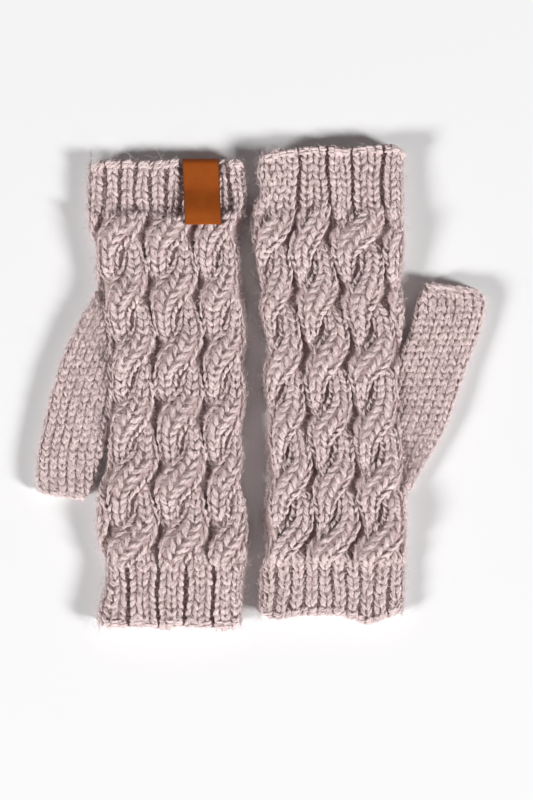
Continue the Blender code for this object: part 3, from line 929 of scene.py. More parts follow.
    def drift(self, first: Array, second: Array) -> Array:
        """How far the knitting is pulled out of line at a place, in mm."""
        slow = np.sin(first / SLOW_DRIFT[0] + second / SLOW_DRIFT[1] + self.plan.turn)
        quick = np.sin(first / QUICK_DRIFT[0] - second / QUICK_DRIFT[1])
        return DRIFT * slow + QUICK_SHARE * DRIFT * quick

    def on_relief(self, across: Array, along: Array, lift: Array) -> Array:
        """A point of the upper side, at a lift over the relief there."""
        seen = np.clip(across, self.outer_side(along), self.thumb_side(along))
        return self.wrap(across, along, self.relief(seen, along), lift)

    def below(self, across: Array, along: Array, lift: Array) -> Array:
        """A point of the flat underside, at a lift out of the cloth, and so down."""
        height = np.maximum(PALM_HEIGHT - lift, FLOOR_CLEAR)
        return np.stack(np.broadcast_arrays(across, along, height), -1)


class StrandRun:
    """The course of one crossing's front strand: where it runs, how wide and how high it is."""

    def __init__(self, width: Array, steps: Array) -> None:
        """Follow the strand.

        Args:
            width: The width of its cable.
            steps: The place along, from the crossing, in crossing pitches.
        """
        turn = np.clip(steps / CROSSING_REACH, -1.0, 1.0)
        from_head = (steps - STRAND_REACH + HEAD_BEND_LENGTH) / HEAD_BEND_LENGTH
        bend = HEAD_BEND * width * smooth(from_head)
        lean = STRAND_LEAN * width * np.clip(steps, -1.0, 1.0)
        self.middle = STRAND_OFFSET * width * np.sin(0.5 * pi * turn) + lean - bend
        run = CROSSING_REACH * CROSSING_PITCH
        slope = STRAND_OFFSET * width * 0.5 * pi / run * np.cos(0.5 * pi * turn)
        self.slope = np.where(np.abs(turn) < 1.0, slope, 0.0)
        self.lean = np.hypot(1.0, self.slope)
        foot = np.clip((STRAND_REACH + steps) / FOOT_TAPER, 0.0, 1.0)
        head = np.clip((STRAND_REACH - steps) / HEAD_TAPER, 0.0, 1.0)
        crossing = 1.0 - smooth(np.abs(steps) / CROSSING_SWELL)
        share = STRAND_HALF_WIDTH + (CROSSING_HALF_WIDTH - STRAND_HALF_WIDTH) * crossing
        self.half = share * width * foot ** FOOT_POINT * np.sqrt(head)
        crown = STRAND_RISE + (CROSSING_RISE - STRAND_RISE) * crossing
        low_head = np.clip((STRAND_REACH - steps) / HEAD_CLIMB, 0.0, 1.0)
        self.crown = crown * foot ** FOOT_DROP * np.sqrt(smooth(low_head))


class Finishes(NamedTuple):
    """The finishes of a mitt: its yarn, purl in the shade, the cloth behind, and loose hairs."""

    wool: bpy.types.Material
    shaded: bpy.types.Material
    backing: bpy.types.Material
    hair: bpy.types.Material


@dataclass
class Hand:
    """The hand of a mitt with its two ribs: a shell of cloth under the stitches.

    Lengths are in mm. Sink and the insets are how far the cloth stays behind the stitches, and
    the overlaps how far stitches run on past their own part of the mitt. The fills are how much
    of a wale its two legs take up, and the clears how far stitches keep from a rim or the label.

    Args:
        plan: The mitt.
        finishes: Its finishes.
        purl_grid: Where the purl behind the cables starts and stops across, and its pitch.
        bump_clear: How far such purl climbs a strand, and bump_fade how much rib may be there.
        seam_limit: How much seam there must be for wales to run only seam_wrap past the edge.
    """

    plan: MittPlan
    finishes: Finishes
    row: float = 3.475
    rib_row: float = 3.3
    rib_first: float = 1.0
    wale: float = 4.3
    finger_wale: float = 5.4
    palm_wales: int = 15
    wale_fill: float = 0.94
    wrist_fill: float = 1.08
    sink: float = 0.85
    rim_inset: float = 1.2
    floor_inset: float = 1.0
    top_columns: int = 76
    under_columns: int = 5
    rings: int = 130
    wrist_overlap: float = 1.0
    finger_overlap: float = 1.5
    purl_overlap: tuple[float, float] = (2.0, 3.0)
    purl_grid: tuple[float, float, float] = (-38.0, 40.0, 3.0)
    bump_clear: float = 0.4
    bump_edge: float = 1.0
    bump_fade: float = 0.6
    gutter_inset: float = 0.9
    edge_wrap: float = 2.2
    finger_clear: float = 0.4
    palm_first: float = 1.5
    palm_last: float = 1.0
    palm_clear: tuple[float, float] = (0.8, 0.2)
    label_clear: tuple[float, float] = (1.2, 1.6)
    seam_limit: float = 0.3
    seam_wrap: float = 0.8
    pieces: list[bpy.types.Object] = field(default_factory=list)

    def __post_init__(self) -> None:
        """Read the lay of the knitting."""
        self.lay = Lay(self.plan)
        self.rng = np.random.default_rng(SEED + int(self.plan.turn))

    def build(self) -> bpy.types.Object:
        """Make the shell and every batch of stitches on it, and return the shell."""
        shell = self.shell()
        self.pieces = [
            self.cables(),
            self.purl_floor(),
            self.wrist_rib(),
            self.finger_rib(),
            self.palm(),
            self.rims(),
        ]
        return shell

    def shell(self) -> bpy.types.Object:
        """The tube of cloth that the stitches stand on, open at both ends."""
        shares = np.linspace(0.0, 1.0, self.rings + 1)
        outside = np.stack([self.outside_ring(share) for share in shares])
        inside = np.stack([self.inside_ring(share, outside.shape[1]) for share in (1.0, 0.5, 0.0)])
        rings = np.concatenate([outside, inside, outside[:1]])
        name = self.plan.name + "_cloth"
        return place_piece(name, loft(name, to_table(self.plan, rings)), self.finishes.backing)

    def rim_along(self, across: Array, share: float, upper: bool) -> Array:
        """Find a place along, between the two rims.

        Args:
            across: The place across.
            share: The share of the way from the wrist rim to the finger rim.
            upper: Whether it lies above, where the label's notch is.

        Returns:
            The place along.
        """
        lay = self.lay
        wrist = lay.wrist_rim(across) + self.rim_inset
        if upper:
            from_label = np.abs(across - LABEL_ACROSS) - 0.5 * LABEL_WIDTH - NOTCH_MARGIN
            wrist = wrist + self.plan.notch * smooth(1.0 - from_label / NOTCH_EASE)
        finger = lay.finger_rim(across) - self.rim_inset
        return wrist + share * (finger - wrist)

    def outside_ring(self, share: float) -> Array:
        """Work out a ring of the shell's outside: over the top and back underneath.

        Args:
            share: The share of the way from the wrist rim to the finger rim.

        Returns:
            The points of the ring.
        """
        lay = self.lay
        low, high = lay.sides(share * lay.length)
        extra = TOP_ROUND * (0.5 * pi - 1.0)
        across = np.linspace(low - extra, high + extra, self.top_columns + 1)
        seen = np.clip(across, low, high)
        along = self.rim_along(seen, share, True)
        top = lay.wrap(across, along, lay.relief(seen, along), np.array(-self.sink))
        inset, rise = np.array(UNDER_EDGE).T
        middle = np.linspace(high - UNDER_FLAT, low + UNDER_FLAT, self.under_columns)
        flat = np.concatenate([high - inset, middle, low + inset[::-1]])
        height = np.concatenate([rise, np.zeros(self.under_columns), rise[::-1]]) + PALM_HEIGHT
        under = np.stack([flat, self.rim_along(flat, share, False), height], axis=-1)
        return np.concatenate([top, under])

    def inside_ring(self, share: float, count: int) -> Array:
        """Work out a ring of the hollow.

        Args:
            share: The share of the way from the wrist rim to the finger rim.
            count: How many points a ring of the outside has.

        Returns:
            The points of the ring, as many as that.
        """
        low, high = self.lay.sides(share * self.lay.length)
        low, high = low + SIDE_WALL, high - SIDE_WALL
        roof = np.linspace(low, high, self.top_columns + 1)
        height = np.full(roof.shape, SLIT_ROOF)
        height[[0, -1]] = 0.5 * (SLIT_ROOF + UNDER_WALL)
        top = np.stack([roof, self.rim_along(roof, share, True), height], axis=-1)
        floor = np.linspace(high - self.floor_inset, low + self.floor_inset, count - len(roof))
        level = np.full(floor.shape, UNDER_WALL)
        under = np.stack([floor, self.rim_along(floor, share, False), level], axis=-1)
        return np.concatenate([top, under])

    def cables(self) -> bpy.types.Object:
        """The rope cables: two wales on each strand, which lean with it over the crossing."""
        batch = YarnBatch(Gauge.FACE, self.rng)
        rows = np.arange(-STRAND_REACH, STRAND_REACH, self.row / CROSSING_PITCH)
        cables = np.arange(len(self.lay.gutter_curves) + 1)
        cable, crossing, steps, wale = (
            grid.ravel() for grid in np.meshgrid(
                cables, self.lay.crossings, rows, (-STRAND_WALE, STRAND_WALE), indexing="ij"
            )
        )
        start = steps * CROSSING_PITCH
        middle = (start + 0.5 * self.row)[:, None]
        probe = self.strand_point(
            cable[:, None], crossing[:, None], wale[:, None], middle, np.zeros((1, 1))
        )[:, 0]
        keep = self.on_hand(probe[:, 0], probe[:, 1])
        cable, crossing, start, wale = (part[keep] for part in (cable, crossing, start, wale))

        def surface(across: Array, along: Array, lift: Array) -> Array:
            """A point on the strand of each stitch."""
            return self.strand_point(cable[:, None], crossing[:, None], across, along, lift)

        half = STRAND_WALE * self.wale_fill
        lay_legs(batch, surface, wale, half, start, self.row, CABLE_LEG)
        return batch.knit("cables", self.plan, self.finishes.wool)

    def on_hand(self, across: Array, along: Array) -> Array:
        """Find the points that lie on the cabled hand, clear of the ribs and the thumb's seam.

        Args:
            across: The places across.
            along: The places along.

        Returns:
            Whether each one does.
        """
        lay = self.lay
        cabled = lay.rib_share(across, along) < 0.5
        beyond = across - lay.thumb_side(along)
        seam = lay.seam_share(along) > self.seam_limit
        return cabled & (along > 0.0) & ~(seam & (beyond > self.seam_wrap))

    def strand_point(
        self, cable: Array, crossing: Array, angle: Array, along: Array, lift: Array
    ) -> Array:
        """A point on a cable's strand.

        Args:
            cable: Which cable it is, from the outer side.
            crossing: The place along of the strand's crossing.
            angle: The angle about the strand's middle line, 0 at its crest.
            along: The place along from the crossing.
            lift: How far out of the strand the point lies.

        Returns:
            The points, in the mitt's own frame.
        """
        lay = self.lay
        place = crossing + along
        shape = np.broadcast(place, angle, lift).shape
        place = np.broadcast_to(place, shape)
        picked = np.broadcast_to(cable, shape)[None]
        gutters = lay.gutters(place)
        low = np.take_along_axis(gutters, picked, axis=0)[0]
        high = np.take_along_axis(gutters, picked + 1, axis=0)[0]
        strand = StrandRun(high - low, along / CROSSING_PITCH)
        sine = np.sin(angle)
        drop = np.abs(np.cos(angle)) ** STRAND_FULLNESS
        swing = np.sign(sine) * np.abs(sine) ** STRAND_SIDE
        aside = np.maximum(strand.half + lift, STRAND_LEAST) * swing
        across = 0.5 * (low + high) + strand.middle + aside / strand.lean
        slid = place - CROSSING_SLIDE * aside * strand.slope / strand.lean
        crest = strand.crown * (1.0 - lay.rib_share(across, slid)) * drop
        return lay.wrap(across, slid, crest, lift * np.cos(angle))

    def purl_floor(self) -> bpy.types.Object:
        """The purl between and behind the cables, and between the ridges of the ribs."""
        lay = self.lay
        batch = YarnBatch(Gauge.PALM, self.rng)
        first = WRIST_RIB - self.purl_overlap[0]
        last = lay.length - FINGER_RIB + self.purl_overlap[1]
        rows = np.arange(first, last, self.rib_row)
        lines = lay.gutters(rows)[1:-1]
        along = np.broadcast_to(rows, lines.shape).ravel()
        lay_bumps(batch, lay.on_relief, lines.ravel(), along, GUTTER_BUMP)
        across, along = (
            grid.ravel() for grid in np.meshgrid(np.arange(*self.purl_grid), rows)
        )
        keep = lay.cable_relief(across, along) < self.plan.eye_floor + self.bump_clear
        keep &= across < lay.thumb_side(along) + self.bump_edge
        keep &= across > lay.outer_side(along) - self.bump_edge
        keep &= lay.rib_share(across, along) < self.bump_fade
        lay_bumps(batch, lay.on_relief, across[keep], along[keep], EYE_BUMP)
        self.rib_purl(batch)
        return batch.knit("purl", self.plan, self.finishes.shaded)

    def rib_purl(self, batch: YarnBatch) -> None:
        """Lay the purl between the ridges of the two ribs."""
        for gutter in range(WRIST_RIDGES + 1):
            middle, start = self.wrist_line(float(gutter))
            lay_bumps(batch, self.lay.on_relief, middle, start, WRIST_BUMP)
        rows = self.finger_rows()
        for gutter in self.plan.rib_gutters:
            start = rows[rows < float(self.lay.finger_rim(np.array(gutter))) - self.wrist_overlap]
            middle = np.full(start.shape, gutter)
            lay_bumps(batch, self.lay.on_relief, middle, start, FINGER_BUMP)

    def wrist_line(self, ridge: float) -> tuple[Array, Array]:
        """Find the stitches along one line of the wrist rib, clear of the label.

        Args:
            ridge: The line, counted in ridges from the outer edge.

        Returns:
            The middle and the start of each stitch.
        """
        lay = self.lay
        share = ridge / WRIST_RIDGES
        low, high = lay.sides(0.0)
        rim = float(lay.wrist_rim(np.array(low + (high - low) * share)))
        start = np.arange(rim + self.rib_first, WRIST_RIB + self.wrist_overlap, self.rib_row)
        width = lay.thumb_side(start) - lay.outer_side(start)
        middle = lay.outer_side(start) + width * ridge / WRIST_RIDGES
        aside, beyond = self.label_clear
        keep = beside_label(middle, aside) | (start > self.plan.notch + beyond)
        keep |= self.plan.notch == 0.0
        return middle[keep], start[keep]

    def wrist_rib(self) -> bpy.types.Object:
        """The wrist rib: ridges one wale wide, with purl between them."""
        batch = YarnBatch(Gauge.FACE, self.rng)
        half = 0.5 * self.wale * self.wrist_fill
        for ridge in range(-1, WRIST_RIDGES + 1):
            middle, start = self.wrist_line(ridge + 0.5)
            lay_legs(batch, self.lay.on_relief, middle, half, start, self.rib_row, RIB_LEG)
        return batch.knit("wrist_rib", self.plan, self.finishes.wool)

    def finger_rows(self) -> Array:
        """Where the rows of the finger rib start."""
        length = self.lay.length
        first = length - FINGER_RIB - self.finger_overlap
        return np.arange(first, length + self.finger_overlap, self.rib_row)

    def finger_rib(self) -> bpy.types.Object:
        """The finger rib: ridges some wales wide, with deep gutters between them."""
        lay = self.lay
        batch = YarnBatch(Gauge.FACE, self.rng)
        rows = self.finger_rows()
        stops = (-np.inf,) + self.plan.rib_gutters + (np.inf,)
        for low, high in zip(stops, stops[1:]):
            left = np.maximum(low + self.gutter_inset, lay.outer_side(rows) - self.edge_wrap)
            right = np.minimum(high - self.gutter_inset, lay.thumb_side(rows) + self.edge_wrap)
            wales = max(2, int(round(float(np.mean(right - left)) / self.finger_wale)))
            half = 0.5 * (right - left) / wales
            for wale in range(wales):
                middle = left + (2.0 * wale + 1.0) * half
                keep = rows + self.rib_row < lay.finger_rim(middle) + self.finger_clear
                lay_legs(
                    batch, lay.on_relief, middle[keep], half[keep] * self.wale_fill,
                    rows[keep], self.rib_row, RIB_LEG,
                )
        return batch.knit("finger_rib", self.plan, self.finishes.wool)

    def palm(self) -> bpy.types.Object:
        """The plain knitting of the palm, pressed flat by the table."""
        lay = self.lay
        batch = YarnBatch(Gauge.PALM, self.rng)
        rows = np.arange(self.palm_first, lay.length + self.palm_last, self.rib_row)
        low = lay.outer_side(rows) + PALM_EDGE
        high = lay.thumb_side(rows) - PALM_EDGE
        half = 0.5 * (high - low) / self.palm_wales
        for wale in range(self.palm_wales):
            middle = low + (2.0 * wale + 1.0) * half
            keep = rows > lay.wrist_rim(middle) + self.palm_clear[0]
            keep &= rows + self.rib_row < lay.finger_rim(middle) + self.palm_clear[1]
            lay_legs(
                batch, lay.below, middle[keep], half[keep], rows[keep], self.rib_row, PALM_LEG
            )
        return batch.knit("palm", self.plan, self.finishes.wool)

    def rims(self) -> bpy.types.Object:
        """The chains and loops of the first and last rows, round the two open ends."""
        lay = self.lay
        batch = YarnBatch(Gauge.FACE, self.rng)
        wrist = Rim(self.plan, lay, batch, lay.wrist_rim, 0.0, 1.0)
        wrist.build(WRIST_CHAINS)
        fingers = Rim(self.plan, lay, batch, lay.finger_rim, lay.length, -1.0)
        fingers.build(FINGER_CHAINS)
        return batch.knit("rims", self.plan, self.finishes.wool)


@dataclass
class Rim:
    """The stitches at one open end of a hand.

    First, last and loop_first are how far in from the two side edges chains and loops start and
    stop. The clears are a stitch's middle and how far it keeps from the label.

    Args:
        plan: The mitt.
        lay: Where its knitting lies.
        batch: Where the stitches go.
        curve: The end of the cloth.
        nominal: The place along of that end.
        inward: 1 where the hand lies further along, and -1 where it lies before.
    """

    plan: MittPlan
    lay: Lay
    batch: YarnBatch
    curve: SmoothCurve
    nominal: float
    inward: float
    first: float = 1.0
    last: float = 3.0
    loop_first: float = 0.5
    chain_clear: tuple[float, float] = (1.6, 1.6)
    loop_clear: tuple[float, float] = (1.8, 2.4)

    def __post_init__(self) -> None:
        """Find the two edges and note whether a label is in the way."""
        self.low, self.high = self.lay.sides(self.nominal)
        self.labelled = self.inward > 0.0 and self.plan.notch > 0.0

    def build(self, chains: Sequence[tuple[float, float]]) -> None:
        """Lay the chains, the loops and the turns at the two corners.

        Args:
            chains: The height and the inset of each line of chain stitches.
        """
        for height, inset in chains:
            self.chain(ChainShape(), height, inset)
        for inset in RIM_LOOPS:
            self.loops(LoopShape(), inset)
        self.corner(CornerShape(), self.low, -1.0)
        self.corner(CornerShape(), self.high, 1.0)

    def spared(self, spots: Array, clear: tuple[float, float]) -> Array:
        """The places that are clear of the label."""
        middle, margin = clear
        return spots[beside_label(spots + middle, margin)] if self.labelled else spots

    def chain(self, shape: ChainShape, height: float, inset: float) -> None:
        """Lay one line of slanted chain stitches.

        Args:
            shape: How a stitch lies.
            height: The height of the line over the table.
            inset: How far in from the rim it lies.
        """
        rng = self.batch.rng
        spots = np.arange(self.low + self.first, self.high - self.last, shape.pitch)
        if height > UNDER_WALL:
            spots = self.spared(spots, self.chain_clear)
        share = self.batch.stations
        arch = np.sin(pi * share)
        noise = rng.normal(0.0, shape.sway, (len(spots), 3))
        across = spots[:, None] + shape.reach * share + noise[:, :1]
        edge = self.curve(across) + self.inward * (inset + shape.slant * share - shape.bow * arch)
        roof = GUTTER_TOP - shape.drop + self.lay.relief(across, edge + self.inward)
        level = np.minimum(height + shape.crown * arch + noise[:, 2:], roof)
        path = np.stack([across, edge + noise[:, 1:2], level], axis=-1)
        outward = np.zeros(path.shape)
        outward[..., 1] = -self.inward
        outward[..., 2] = 1.0 if height > UNDER_WALL else -1.0
        full = rng.normal(1.0, shape.fullness, len(spots))
        self.batch.lay(path, outward, shape.width * full, shape.thick * full)

    def loops(self, shape: LoopShape, inset: float) -> None:
        """Lay one line of slanted loops over the ribs.

        Args:
            shape: How a loop lies.
            inset: How far in from the rim the line lies.
        """
        rng = self.batch.rng
        spots = np.arange(self.low + self.loop_first, self.high, shape.pitch)
        spots = self.spared(spots + rng.normal(0.0, shape.sway, len(spots)), self.loop_clear)
        share = self.batch.stations
        count = len(spots)
        across = spots[:, None] + shape.reach * (share - shape.before)
        slant = rng.normal(shape.slant, shape.slant_stray, (count, 1))
        along = self.curve(across) + self.inward * (inset + slant * share)
        lift = shape.low + shape.rise * np.sin(pi * share)
        lift = lift + rng.normal(0.0, shape.stray, (count, 1))
        path, outward = sample(self.lay.on_relief, across, along, lift)
        full = rng.normal(1.0, shape.fullness, count)
        self.batch.lay(path, outward, shape.width * full, shape.thick * full)

    def corner(self, shape: CornerShape, edge: float, side: float) -> None:
        """Lay the stitches that carry the rim round one side edge.

        Args:
            shape: The arc that they lie on.
            edge: The place across of the side edge.
            side: 1 by the thumb, and -1 at the outer edge.
        """
        share = self.batch.stations
        start = np.linspace(shape.first, shape.last, shape.count)[:, None]
        angle = start + shape.sweep * share
        across = edge + side * (-shape.inset + shape.radius * np.sin(angle))
        level = np.maximum(shape.middle + shape.height * np.cos(angle), shape.least)
        along = self.curve(across) + self.inward * (shape.from_rim + shape.slant * share)
        path = np.stack([across, along, level], axis=-1)
        inwards = np.full(angle.shape, -self.inward)
        outward = np.stack([side * np.sin(angle), inwards, np.cos(angle)], axis=-1)
        full = np.ones(shape.count)
        self.batch.lay(path, outward, shape.width * full, shape.thick * full)


@dataclass
class Thumb:
    """The gusset and the thumb that grows from it, in plain knitting.

    Lengths are in mm. Travel is the distance along the thumb's middle from the gusset's point, at
    which the cloth and its hollow start.

    Args:
        plan: The mitt.
        finishes: Its finishes.
        wales: The most wales that a row may have.
        end_inset: How far in from the end the cloth stops, and the hollow's floor from its roof.
        last_row: How much of the last row must fit, as a share.
    """

    plan: MittPlan
    finishes: Finishes
    row: float = 3.15
    wale: float = 4.05
    wales: int = 10
    sink: float = 0.8
    rings: int = 60
    hollow_rings: int = 12
    columns: int = 24
    floor_columns: int = 6
    start: float = 2.0
    end_inset: float = 1.0
    hollow_start: float = 26.0
    roof_drop: float = 0.1
    first_row: float = 0.5
    last_row: float = 0.6
    edge_wrap: float = 0.8
    first_wale: float = -2.6
    first_under: float = 3.4
    under_edge: float = 2.4
    chain_first: float = 0.4
    chain_last: float = 2.4
    readings: int = 200
    pieces: list[bpy.types.Object] = field(default_factory=list)

    def __post_init__(self) -> None:
        """Read the thumb's table."""
        self.lay = Lay(self.plan)
        self.rng = np.random.default_rng(THUMB_SEED + int(self.plan.turn))
        number = np.arange(len(self.plan.thumb))
        curves = [SmoothCurve(number, values) for values in zip(*self.plan.thumb)]
        self.inner, self.outer = curves[:2], curves[2:]
        self.fine = np.linspace(0.0, number[-1], self.readings)
        middle = 0.5 * (self.edge(self.inner, self.fine) + self.edge(self.outer, self.fine))
        steps = np.linalg.norm(np.diff(middle, axis=0), axis=1)
        self.travel = np.concatenate([[0.0], np.cumsum(steps)])

    def edge(self, curves: list[SmoothCurve], place: Array) -> Array:
        """Points of one edge of the thumb, kept off the hand's side."""
        across = curves[0](place)
        along = curves[1](place)
        if curves is self.inner:
            across = np.maximum(across, self.lay.thumb_side(along) + SEAM_GAP)
        return np.stack([across, along], axis=-1)

    def section(self, travel: Array) -> tuple[Array, Array, Array]:
        """The two edges and the width of the thumb, at a distance along its middle."""
        place = np.interp(travel, self.travel, self.fine)
        inner = self.edge(self.inner, place)
        outer = self.edge(self.outer, place)
        return inner, outer, np.linalg.norm(outer - inner, axis=-1)

    def upper(self, from_outer: Array, travel: Array, lift: Array) -> Array:
        """A point of the upper side, rounded over the outer and the inner edge.

        Args:
            from_outer: The distance in from the outer edge, measured over its rounding.
            travel: The distance along the thumb's middle.
            lift: How far out of the cloth the point lies.

        Returns:
            The points, in the mitt's own frame.
        """
        inner, outer, width = self.section(travel)
        radius = np.minimum(THUMB_ROUND, 0.5 * width)
        over_outer = np.maximum(radius - from_outer, 0.0)
        over_inner = np.maximum(from_outer - (width - radius), 0.0)
        outer_angle = np.minimum(over_outer / radius, MAX_WRAP)
        inner_angle = np.minimum(over_inner / radius, MAX_WRAP)
        seam = self.lay.seam_share(inner[..., 1])
        reach = radius + lift * (1.0 - seam) + SEAM_BULGE * seam
        rounded = np.where(
            over_outer > 0.0,
            radius - (radius + lift) * np.sin(outer_angle),
            width - radius + reach * np.sin(inner_angle),
        )
        inside = (over_outer <= 0.0) & (over_inner <= 0.0)
        place = np.where(inside, from_outer, rounded)
        edge = np.where(over_outer > 0.0, EDGE_HEIGHT, seam_height(seam))
        height = round_edge(edge, THUMB_TOP, lift, np.maximum(outer_angle, inner_angle))
        return self.spot(travel, place, np.maximum(height, FLOOR_CLEAR))

    def lower(self, from_outer: Array, travel: Array, lift: Array) -> Array:
        """A point of the flat underside, at a lift out of the cloth, and so down."""
        return self.spot(travel, from_outer, np.maximum(PALM_HEIGHT - lift, FLOOR_CLEAR))

    def spot(self, travel: Array, from_outer: Array, height: Array) -> Array:
        """Set a point between the two edges, at its height."""
        inner, outer, width = self.section(travel)
        flat = outer + (inner - outer) * (from_outer / width)[..., None]
        return np.stack(np.broadcast_arrays(flat[..., 0], flat[..., 1], height), axis=-1)

    def build(self) -> bpy.types.Object:
        """Make the shell and the stitches on it, and return the shell."""
        shell = self.shell()
        self.pieces = [self.stitches(), self.under_stitches()]
        return shell

    def shell(self) -> bpy.types.Object:
        """The tube of cloth that the stitches stand on, open at the thumb's end."""
        last = self.travel[-1] - self.end_inset
        outside = [
            self.outside_ring(travel) for travel in np.linspace(self.start, last, self.rings + 1)
        ]
        inside = [
            self.inside_ring(travel)
            for travel in np.linspace(last, self.hollow_start, self.hollow_rings)
        ]
        name = self.plan.name + "_thumb_cloth"
        data = loft(name, to_table(self.plan, np.stack(outside + inside)))
        close_ends(data)
        return place_piece(name, data, self.finishes.backing)

    def outside_ring(self, travel: float) -> Array:
        """Work out a ring of the shell's outside: over the top and back underneath.

        Args:
            travel: The distance along the thumb's middle.

        Returns:
            The points of the ring.
        """
        width = float(self.section(np.array(travel))[2])
        radius = min(THUMB_ROUND, 0.5 * width)
        extra = radius * (0.5 * pi - 1.0)
        across = np.linspace(-extra, width + extra, self.columns + 1)
        sunk = np.full(across.shape, -self.sink)
        top = self.upper(across, np.full(across.shape, travel), sunk)
        flat = np.linspace(width - radius, radius, self.floor_columns)
        under = self.lower(flat, np.full(flat.shape, travel), np.zeros(flat.shape))
        return np.concatenate([top, under])

    def inside_ring(self, travel: float) -> Array:
        """Work out a ring of the hollow, with as many points as the outside's.

        Args:
            travel: The distance along the thumb's middle.

        Returns:
            The points of the ring.
        """
        width = float(self.section(np.array(travel))[2])
        across = np.linspace(THUMB_SIDE, width - THUMB_SIDE, self.columns + 1)
        level = np.full(across.shape, SLIT_ROOF - self.roof_drop)
        roof = self.spot(np.full(across.shape, travel), across, level)
        inset = THUMB_SIDE + self.end_inset
        flat = np.linspace(width - inset, inset, self.floor_columns)
        floor = self.spot(np.full(flat.shape, travel), flat, np.full(flat.shape, UNDER_WALL))
        return np.concatenate([roof, floor])

    def grid(self, first: float, margin: float) -> tuple[Array, Array]:
        """The wales' middles and the rows' starts that fit on the thumb.

        Args:
            first: Where the first wale lies, from the outer edge.
            margin: How far wales run over the inner edge, or stay in from it if below 0.

        Returns:
            The middle and the start of each stitch.
        """
        rows = np.arange(self.first_row, self.travel[-1] - self.last_row * self.row, self.row)
        wales = first + self.wale * np.arange(self.wales)
        middle, start = (part.ravel() for part in np.meshgrid(wales, rows))
        width = self.section(start + 0.5 * self.row)[2]
        keep = middle < width + margin
        return middle[keep], start[keep]

    def stitches(self) -> bpy.types.Object:
        """The plain knitting on top: wales in line with the outer edge, new ones by the hand."""
        batch = YarnBatch(Gauge.FACE, self.rng)
        middle, start = self.grid(self.first_wale, self.edge_wrap)
        lay_legs(batch, self.upper, middle, 0.5 * self.wale, start, self.row, THUMB_LEG)
        for height, inset in THUMB_CHAINS:
            self.end_chain(batch, THUMB_CHAIN, height, inset)
        return batch.knit("thumb_stitches", self.plan, self.finishes.wool)

    def under_stitches(self) -> bpy.types.Object:
        """The plain knitting below, pressed flat by the table."""
        batch = YarnBatch(Gauge.PALM, self.rng)
        middle, start = self.grid(self.first_under, -self.under_edge)
        lay_legs(batch, self.lower, middle, 0.5 * self.wale, start, self.row, PALM_LEG)
        return batch.knit("thumb_palm", self.plan, self.finishes.wool)

    def end_chain(self, batch: YarnBatch, shape: ChainShape, height: float, inset: float) -> None:
        """Lay one line of chain stitches along the thumb's open end.

        Args:
            batch: Where they go.
            shape: How a stitch lies.
            height: The height of the line over the table.
            inset: How far in from the end it lies.
        """
        share = batch.stations
        end = self.travel[-1]
        width = float(self.section(np.array(end))[2])
        spots = np.arange(self.chain_first, width - self.chain_last, shape.pitch)
        count = len(spots)
        sway = self.rng.normal(0.0, shape.sway, (count, 1))
        across = spots[:, None] + shape.reach * share + sway
        travel = np.broadcast_to(end - inset - shape.slant * share, across.shape)
        stray = self.rng.normal(0.0, shape.stray, (count, 1))
        path = self.spot(travel, across, height + shape.crown * np.sin(pi * share) + stray)
        outward = np.zeros(path.shape)
        outward[..., 1] = 1.0
        outward[..., 2] = 1.0 if height > UNDER_WALL else -1.0
        full = self.rng.normal(1.0, shape.fullness, count)
        batch.lay(path, outward, shape.width * full, shape.thick * full)


def loft(name: str, rings: Array) -> bpy.types.Mesh:
    """Skin a closed tube through rings of points.

    Args:
        name: The name of the mesh.
        rings: The rings, one a row, in metres.

    Returns:
        The mesh, its faces outwards.
    """
    mesh = bmesh.new()
    around = rings.shape[1]
    grid = bmesh.ops.create_grid(mesh, x_segments=around, y_segments=len(rings) - 1, size=1.0)
    for index, vertex in enumerate(grid["verts"]):
        row, place = divmod(index, around + 1)
        vertex.co = Vector(rings[row, place % around])
    bmesh.ops.remove_doubles(mesh, verts=grid["verts"], dist=1e-6)
    bmesh.ops.recalc_face_normals(mesh, faces=mesh.faces)
    return keep_mesh(mesh, name)


def close_ends(data: bpy.types.Mesh) -> None:
    """Fill the open ends of a lofted mesh."""
    mesh = bmesh.new()
    mesh.from_mesh(data)
    rim = [edge for edge in mesh.edges if edge.is_boundary]
    bmesh.ops.holes_fill(mesh, edges=rim, sides=0)
    bmesh.ops.recalc_face_normals(mesh, faces=mesh.faces)
    mesh.to_mesh(data)
    mesh.free()


